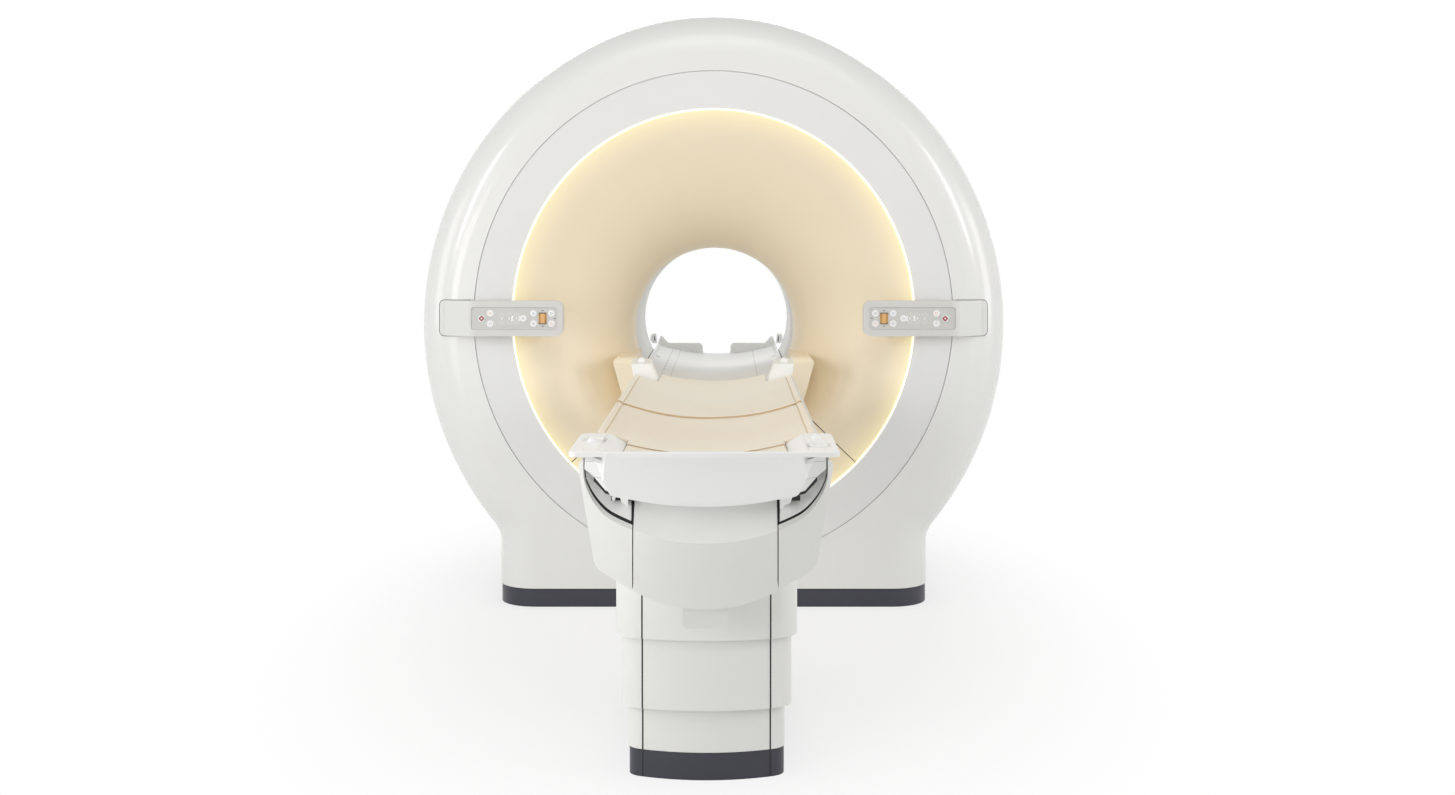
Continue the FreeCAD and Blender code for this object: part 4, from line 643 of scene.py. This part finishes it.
def make_toggle(x, word):
    """Ribs of a rocker, and its dark ends and corners, painted shade of the recess round it."""
    body = word + "_toggle"
    for number in range(RIB_COUNT):
        z = PANEL_Z + (number - RIB_COUNT // 2) * RIB_STEP
        prism("%s_toggle_rib_%d" % (word, number), rectangle(x, z, *TOGGLE_RIB), "y",
              BUTTON_FACE - 0.7, BUTTON_FACE + 0.5, "toggle_amber", body, edge=0.3)
    for number, way in enumerate((-1, 1)):
        end = PANEL_Z + way * END_RISE
        prism("%s_toggle_end_shade_%d" % (word, number), rectangle(x, end, *TOGGLE_END_SHADE), "y",
              BUTTON_FACE - 0.15, BUTTON_FACE + 2.5, "mark_dark_and_shade", body)
        for corner, shift in enumerate((-CORNER_X, CORNER_X)):
            prism("%s_toggle_corner_%d_%d" % (word, number, corner),
                  rectangle(x + shift, end - way * CORNER_DROP, *TOGGLE_CORNER_SHADE), "y",
                  BUTTON_FACE - 0.1, BUTTON_FACE + 1.5, "mark_dark_and_shade", body)


# ---- bore and bridge -----------------------------------------------------------------------------

TROUGH_HALF, TROUGH_EDGE, TROUGH_MIDDLE = 285.0, 945.0, 903.0
BRIDGE_START, BRIDGE_END = 101.0, 1780.0
PLATE = 1772.0                      # depth of the end plates' front
CREASE_SHADE = (184.0, 186.2)
POCKET_DEPTHS, POCKET_TIP, POCKET_BASE = (1090.0, 560.0), 262, 283
BRACKET = ((308, 958), (312, 1004), (322, 1009), (338, 1002), (343, 975), (330, 958))
BRACKET_FRONT = PLATE - 24.0
BRACKET_SLOT = ((316, 970), (319, 996), (323, 996), (321, 970))
BRIDGE_GAP_SHADE = ((305.6, 943.5), (311.0, 953.0), (306.0, 953.0))
DASH = (-221.5, -224.5)
DASH_START, DASH_END = 150.0, 1740.0

# Painted light: the end plates of the bridge are whiter than its trough, to make up for the shade
# deep in the bore.
tint_where(MAT["bridge_grey"], (0, 1, 0), FRONT + PLATE / 1000, 0.002, (255, 255, 253),
           beyond=True)


def trough_height(x):
    return sag(x, TROUGH_HALF, TROUGH_EDGE, TROUGH_MIDDLE)


def on_trough(name, x_near, x_far, start, end, mat):
    """Thin mark on the bridge's trough, between two distances from the middle."""
    edges = [[(x, depth, trough_height(x)) for depth in (start, end)] for x in (x_near, x_far)]
    band(name, edges[0], edges[1], (0, 0, 1), 0.35, 0.6, mat, "magnet")


def make_bore_details():
    for side, word in SIDES:
        # Painted shade: a black strip in the gap along each side of the trough.
        prism(word + "_bridge_gap_shade", mirrored(side, BRIDGE_GAP_SHADE), "y", 604.0, 1376.0, "painted_gap_shade",
              "magnet")
        # Painted shade: a grey line along each crease of the trough.
        on_trough(word + "_crease", side * CREASE_SHADE[0], side * CREASE_SHADE[1], BRIDGE_START + 6,
                  BRIDGE_END - 1, "mark_soft_and_shade")
        # Painted shade: dark triangles for the shade in the pockets at the trough's edge.
        for number, depth in enumerate(POCKET_DEPTHS):
            pocket = [(side * POCKET_TIP, depth - 4), (side * POCKET_BASE, depth - 17),
                      (side * POCKET_BASE, depth + 17)]
            rings = [[at(x, y, trough_height(x) + lift) for x, y in pocket] for lift in (0.4, -0.6)]
            skin("%s_pocket_%d" % (word, number), rings, False, "mark_dark_and_shade", "magnet")
        prism(word + "_end_bracket", mirrored(side, BRACKET), "y", BRACKET_FRONT, PLATE,
              "cap_white", "magnet", edge=2.5)
        # Painted shade: a dark sheet in each bracket's slot.
        prism(word + "_bracket_slot", mirrored(side, BRACKET_SLOT), "y", BRACKET_FRONT - 0.8,
              BRACKET_FRONT + 1.0, "mark_dark_and_shade", "magnet")
    # A broken line along the left of the trough, one long dash and two short ones at a time.
    depth, dash = DASH_START, 0
    while depth < DASH_END:
        length = 26.0 if dash % 3 == 0 else 14.0
        on_trough("bridge_dash_%d" % dash, *DASH, depth, depth + length, "mark_dark_and_shade")
        dash += 1
        depth += 70.0 if dash % 3 == 0 else 46.0


# ---- table head ----------------------------------------------------------------------------------

HEAD_TIP, HEAD_HALF, HEAD_CORNER = -2400.0, 352.0, -2225.0  # front of the head seen from above
HEAD_BOW = 640.0                    # radius of its rounded tip
SLOPE_UP = (0, -1, 1)
SLOPE_DEPTH, SLOPE_Z = -2325.0, 708.0       # a point on the sloping apron
SLOPE_TURN, SLOPE_ROUND = 248.0, 85.0       # where it turns up at the sides, and the radius
SHADE_START, SHADE_REACH, SHADE_STEPS = 196.0, 134.0, 40
SHADE_INSET, SHADE_WIDEST = 12.6, {"left": 20.0, "right": 18.0}
APRON_SLOT = (193.8, 199.5)         # inner and outer edge at its near end
APRON_START, APRON_LENGTH, APRON_STEPS = -2282.0, 75.0, 8
RAIL_CAP = ((299, 951), (319, 951), (323, 940), (324, 903), (300, 882), (268, 844), (250, 838),
            (250, 866))
CHEEK_SHADE = ((300, 882), (268, 844), (250, 838), (250, 831), (268, 835), (300, 869))
CAP_FACE = -2296.0
CAP_OUTLINES = (((320.0, 922.5), (282.0, 922.5), (278.5, 920.0), (266.0, 874.0)),
                ((264.0, 872.0), (280.0, 878.0), (296.0, 880.5), (321.0, 876.0)))
LATCH_FRONT = -2264.0
LATCH_SHADE = ((199, 811), (256, 811), (256, 822), (199, 822))
TEETH = {                           # |x| and height of the latch teeth's outlines
    "left": (((243, 822), (254, 822), (252, 812), (245, 812)),
             ((209, 822), (231, 822), (228, 809), (219, 804), (214, 797), (209, 797))),
    "right": (((201, 822), (235, 822), (229, 805), (215, 800), (209, 790), (201, 789)),)}

# Painted light: the sloping apron and saddles, which face up towards the light, are whiter than the
# head's front.
tint_where(MAT["apron_painted_light"], SLOPE_UP, (SLOPE_Z - SLOPE_DEPTH) / 1000 - FRONT - 0.0005, 0.0006,
           (252, 252, 250), beyond=True)


def hull_front(x, inset):
    """Depth of the head's front, moved inwards by inset, at a distance x from the middle."""
    tip = HEAD_TIP + 1.1 * inset
    angle = math.atan2(HEAD_CORNER + inset / 2 - tip, HEAD_HALF - inset)
    radius = HEAD_BOW - inset
    if x < radius * math.sin(angle):
        return tip + radius / math.cos(angle) - math.sqrt(radius * radius - x * x)
    return tip + x * math.tan(angle)


def slope_height(x, depth):
    """Height of the sloping apron and saddles."""
    past = max(0.0, x - SLOPE_TURN)
    rise = SLOPE_ROUND - math.sqrt(max(0.0, SLOPE_ROUND ** 2 - past ** 2))
    return SLOPE_Z + rise + depth - SLOPE_DEPTH


def make_head_details():
    for side, word in SIDES:
        # Painted shade: a black band in the curved gap between each saddle and wing.
        lines = []
        for inset in (SHADE_INSET, SHADE_WIDEST[word]):
            line = []
            for i in range(SHADE_STEPS + 1):
                x = SHADE_START + SHADE_REACH * math.sin(math.pi / 2 * i / SHADE_STEPS)
                depth = hull_front(x, inset)
                line.append((side * x, depth, slope_height(x, depth)))
            lines.append(line)
        band(word + "_saddle_shade", lines[0], lines[1], SLOPE_UP, 0.5, 5.0, "painted_gap_shade",
             "table_head")
        # Painted shade: a black band in the slot at the apron's near end.
        inner, outer = [], []
        for i in range(APRON_STEPS + 1):
            depth = APRON_START + APRON_LENGTH * i / APRON_STEPS
            height = slope_height(APRON_SLOT[0], depth)
            inner.append((side * APRON_SLOT[0], depth, height))
            outer.append((side * (APRON_SLOT[1] + 4.0 * i / APRON_STEPS), depth, height))
        band(word + "_apron_slot", inner, outer, SLOPE_UP, 0.5, 5.0, "painted_gap_shade", "table_head")
        # White end caps of the rails beside the boat, with a black strip of painted shade under
        # each, where the shadow falls between cap and saddle, and the faint outline of a cover
        # plate.
        prism(word + "_rail_cap", mirrored(side, RAIL_CAP), "y", CAP_FACE, CAP_FACE + 5.8,
              "cap_white", "table_head", edge=1.5)
        prism(word + "_cheek_shade", mirrored(side, CHEEK_SHADE), "y", CAP_FACE + 5, CAP_FACE + 10,
              "painted_gap_shade", "table_head")
        for number, line in enumerate(CAP_OUTLINES):
            edges = [[(side * (x + shift), CAP_FACE, z + shift) for x, z in line]
                     for shift in (-0.55, 0.55)]
            band("%s_cap_outline_%d" % (word, number), edges[0], edges[1], (0, -1, 0), 0.3, 0.5,
                 "mark_soft_and_shade", "table_head")
        # Latch teeth under the boat's corner, in front of a black strip of painted shade.
        prism(word + "_latch_shade", mirrored(side, LATCH_SHADE), "y", LATCH_FRONT + 6,
              LATCH_FRONT + 60, "painted_gap_shade", "table_head")
        for number, tooth in enumerate(TEETH[word]):
            prism("%s_latch_%d" % (word, number), mirrored(side, tooth), "y", LATCH_FRONT,
                  LATCH_FRONT + 64, "cap_white", "table_head", edge=1.0)


# ---- column --------------------------------------------------------------------------------------

COLUMN_FRONT, COLUMN_HALF, COLUMN_SAG = -2100.0, 222.0, 50.0
COLUMN_GROOVE_SHADE = (177.8, 182.2)
COLUMN_STAGES = (                   # body, growth over the pedestal, lower and upper end, slot
    ("magnet", -2.0, 0.5, 77.5, "skirt_dark"), ("magnet", 0.0, 78.5, 229.0, "column_white"),
    ("column_middle", 19.5, 200.5, 424.0, "column_white"),
    ("table_head", 35.5, 400.5, 629.0, "column_white"))


def make_column_groove_shades():
    """Black band over each upright joint of the column's bowed front, painted shade of the groove
    there.
    """
    for stage, (body, grow, low, high, slot) in enumerate(COLUMN_STAGES):
        half = COLUMN_HALF + grow
        radius = (half * half + COLUMN_SAG * COLUMN_SAG) / (2 * COLUMN_SAG)
        for side, word in SIDES:
            edges = []
            for x in COLUMN_GROOVE_SHADE:
                depth = COLUMN_FRONT - grow + radius - math.sqrt(radius * radius - x * x)
                edges.append([(side * x, depth, z) for z in (low, high)])
            band("%s_column_groove_shade_%d" % (word, stage), edges[0], edges[1], (0, -1, 0), 0.3, 1.2,
                 "painted_gap_shade", body)


# ---- end cap of the tabletop ---------------------------------------------------------------------

EAR_TOP = 977.0                     # height of the level ears
DOME_X, SCREW_X = 300, 312
EARS = ((-1, "left", -2316.0, -2256.0), (1, "right", -2253.0, -2373.0))     # dome, recess
SCREW_DEPTHS = (-2470.0, -2155.0)
COLLAR, SEAT = (19.0, 15.6, 1.2), (6.0, 3.2, 0.5)           # outer and inner radius, height
RECESS_RIM, RECESS_SHADE = (20.6, 18.2, 0.8), (27.5, 20.6, 0.4)
RECESS_CORNER = (4.0, 18.0)
SCREW_RADIUS = 3.1


def on_ear(name, x, depth, outer, inner, high, mat="cap_white", corner=(0.0, 0.0)):
    flat_ring(name, x, depth, EAR_TOP, outer, inner, high, mat, "tabletop", corner)


def make_end_cap_details():
    for side, word, dome, recess in EARS:
        x = side * DOME_X
        on_ear(word + "_dome_collar", x, dome, *COLLAR)
        on_ear(word + "_recess_rim", x, recess, *RECESS_RIM, corner=RECESS_CORNER)
        # Painted shade: a darker ring round each recess stands in for the shade of its dished wall.
        on_ear(word + "_recess_shade", x, recess, *RECESS_SHADE, "mark_shade", RECESS_CORNER)
        for number, depth in enumerate(SCREW_DEPTHS):
            on_ear("%s_screw_seat_%d" % (word, number), side * SCREW_X, depth, *SEAT)
            head = circle(side * SCREW_X, depth, SCREW_RADIUS, 24)
            prism("%s_screw_%d" % (word, number), head, "z", EAR_TOP - 0.3, EAR_TOP + 0.35,
                  "screw_steel", "tabletop")


# ---- rear cover ----------------------------------------------------------------------------------

REAR = 1740.0                       # depth of the rear cover's flat face
REAR_SEAMS = (("lower", 90.0, 548.0), ("upper", 1682.0, 2312.0))
REAR_PLUGS = ((893, 1616), (416, 2093), (690, 520))
PLUG_RADIUS, PLUG_RIM = 12.0, (14.5, 12.6)
SLOT_X, SLOT_Z, SLOT_HALF, SLOT_ROUND, SLOT_STEP, SLOT_COUNT = 560, 190, 130, 4.5, 26, 8


def make_rear_details():
    """Middle seam, screw plugs and air slots of the rear cover, which the photo doesn't show."""
    for word, low, high in REAR_SEAMS:
        edges = [[(x, REAR, z) for z in (low, high)] for x in (-1.3, 1.3)]
        band("rear_seam_" + word, edges[0], edges[1], (0, 1, 0), 0.3, 1.0, "mark_dark_and_shade", "magnet")
    for side, word in SIDES:
        for number, (x, z) in enumerate(REAR_PLUGS):
            prism("%s_rear_plug_%d" % (word, number), circle(side * x, z, PLUG_RADIUS), "y",
                  REAR - 1.0, REAR + 1.2, "cap_white", "magnet")
            washer("%s_rear_plug_rim_%d" % (word, number), side * x, z, *PLUG_RIM, REAR - 0.6,
                   REAR + 0.4, "mark_soft_and_shade", "magnet", "cover_gloss")
        # Painted shade: black sheets in the air slots.
        for number in range(SLOT_COUNT):
            outline = []
            for end, start in ((1, -90), (-1, 90)):
                for step in range(9):
                    angle = math.radians(start + 22.5 * step)
                    outline.append((side * SLOT_X + end * SLOT_HALF + SLOT_ROUND * math.cos(angle),
                                    SLOT_Z + SLOT_STEP * number + SLOT_ROUND * math.sin(angle)))
            prism("%s_air_slot_%d" % (word, number), outline, "y", REAR - 1.0, REAR + 0.3,
                  "painted_gap_shade", "magnet")


# ---- stage, camera and light ---------------------------------------------------------------------

def make_camera():
    """Eye-level camera of the photo: it looks level, and the shift brings the frame down."""
    camera = bpy.data.objects.new("camera", bpy.data.cameras.new("camera"))
    scene.collection.objects.link(camera)
    camera.data.sensor_fit = "HORIZONTAL"
    camera.data.sensor_width = 36
    camera.data.lens = 40.26
    camera.data.shift_x = -0.0008
    camera.data.shift_y = -0.1151
    camera.data.clip_end = 100
    camera.location = (0.0625, -7.53, 1.543)
    camera.rotation_euler = (math.radians(90), 0, 0)
    scene.camera = camera


def seen_directly(tree):
    """1 for camera, mirror and glass rays, and 0 for the rest."""
    path = tree.nodes.new("ShaderNodeLightPath")
    total = path.outputs["Is Camera Ray"]
    for extra in ("Is Glossy Ray", "Is Transmission Ray"):
        total = calculate(tree, "MAXIMUM", total, path.outputs[extra])
    return total


def whiten(tree, part, shader, white_kind, output_kind):
    """White over a shader, as far as part says, into a new output."""
    white = tree.nodes.new(white_kind)
    white.inputs["Color"].default_value = (1, 1, 1, 1)
    white.inputs["Strength"].default_value = 1.0
    mix = tree.nodes.new("ShaderNodeMixShader")
    tree.links.new(part, mix.inputs["Fac"])
    tree.links.new(shader.outputs[0], mix.inputs[1])
    tree.links.new(white.outputs[0], mix.inputs[2])
    out = tree.nodes.new(output_kind)
    tree.links.new(mix.outputs[0], out.inputs["Surface"])


def make_world():
    """Soft even light; the background itself is white."""
    world = bpy.data.worlds.new("studio")
    scene.world = world
    world.use_nodes = True
    tree = world.node_tree
    tree.nodes.clear()
    soft = tree.nodes.new("ShaderNodeBackground")
    soft.inputs["Color"].default_value = (1, 0.995, 0.985, 1)
    soft.inputs["Strength"].default_value = 0.39
    whiten(tree, seen_directly(tree), soft, "ShaderNodeBackground", "ShaderNodeOutputWorld")


def make_floor():
    """Pale matte floor that keeps the shadow and fades to white round the scanner."""
    bpy.ops.mesh.primitive_plane_add(size=60, location=(0, 0, 0))
    floor = bpy.context.object
    floor.name = "studio_floor"
    mat = bpy.data.materials.new("studio_floor")
    mat.use_nodes = True
    tree = mat.node_tree
    tree.nodes.clear()
    matte = tree.nodes.new("ShaderNodeBsdfDiffuse")
    tone = spread(tree, noise(tree, 1.5, 2.0), 0, 1, 0.86, 0.88)
    tree.links.new(tone, matte.inputs["Color"])
    place = mapped(tree, "TEXTURE", Location=(0, -0.9, 0), Scale=(1.3, 2.4, 1))
    ring = vector_math(tree, "LENGTH", place, "Value")
    away = spread(tree, ring, 0.5, 1.4, 0.67, 1.0, "SMOOTHSTEP")
    part = calculate(tree, "MULTIPLY", seen_directly(tree), away)
    whiten(tree, part, matte, "ShaderNodeEmission", "ShaderNodeOutputMaterial")
    floor.data.materials.append(mat)


LAMPS = (                           # name, place, target, size, watts
    ("key", (0.3, -5.2, 6.2), (0, -1.2, 1.0), (6.0, 3.0), 50),
    ("back", (0, 5.5, 5.0), (0, 0.5, 1.2), (6.0, 2.5), 140),
    ("near_left", (-2.7, -5.6, 1.3), (0, -2.8, 0.7), (1.6, 1.6), 38),
    ("near_right", (2.7, -5.6, 1.3), (0, -2.8, 0.7), (1.6, 1.6), 2),
    ("table", (0, -3.0, 3.4), (0, -2.9, 0.9), (1.0, 2.4), 5),
    ("bore", at(140, 980, 1400), at(-110, 1780, 980), (0.3, 0.4), 1.2),
    ("wide_left", (-6.2, -2.7, 2.2), (-0.6, -0.6, 1.2), (2.0, 3.0), 44),
    ("wide_right", (6.2, -2.7, 2.2), (0.6, -0.6, 1.2), (2.0, 3.0), 60),
    ("strip_left", (-3.55, -4.05, 2.75), (-1.05, -0.8, 1.45), (0.55, 1.7), 27),
    ("strip_right", (3.55, -4.05, 2.75), (1.05, -0.8, 1.45), (0.55, 1.7), 27))


def make_lamp(name, place, target, size, power):
    data = bpy.data.lights.new(name, "AREA")
    data.shape = "RECTANGLE"
    data.size, data.size_y = size
    data.energy = power
    obj = bpy.data.objects.new(name, data)
    scene.collection.objects.link(obj)
    obj.location = place
    obj.rotation_euler = (Vector(target) - Vector(place)).to_track_quat("-Z", "Y").to_euler()


make_camera()
make_world()
make_floor()
for row in LAMPS:
    make_lamp(*row)

make_mattress()
for side, word in SIDES:
    make_panel(side, word)
make_bore_details()
make_head_details()
make_end_cap_details()
make_column_groove_shades()
make_rear_details()
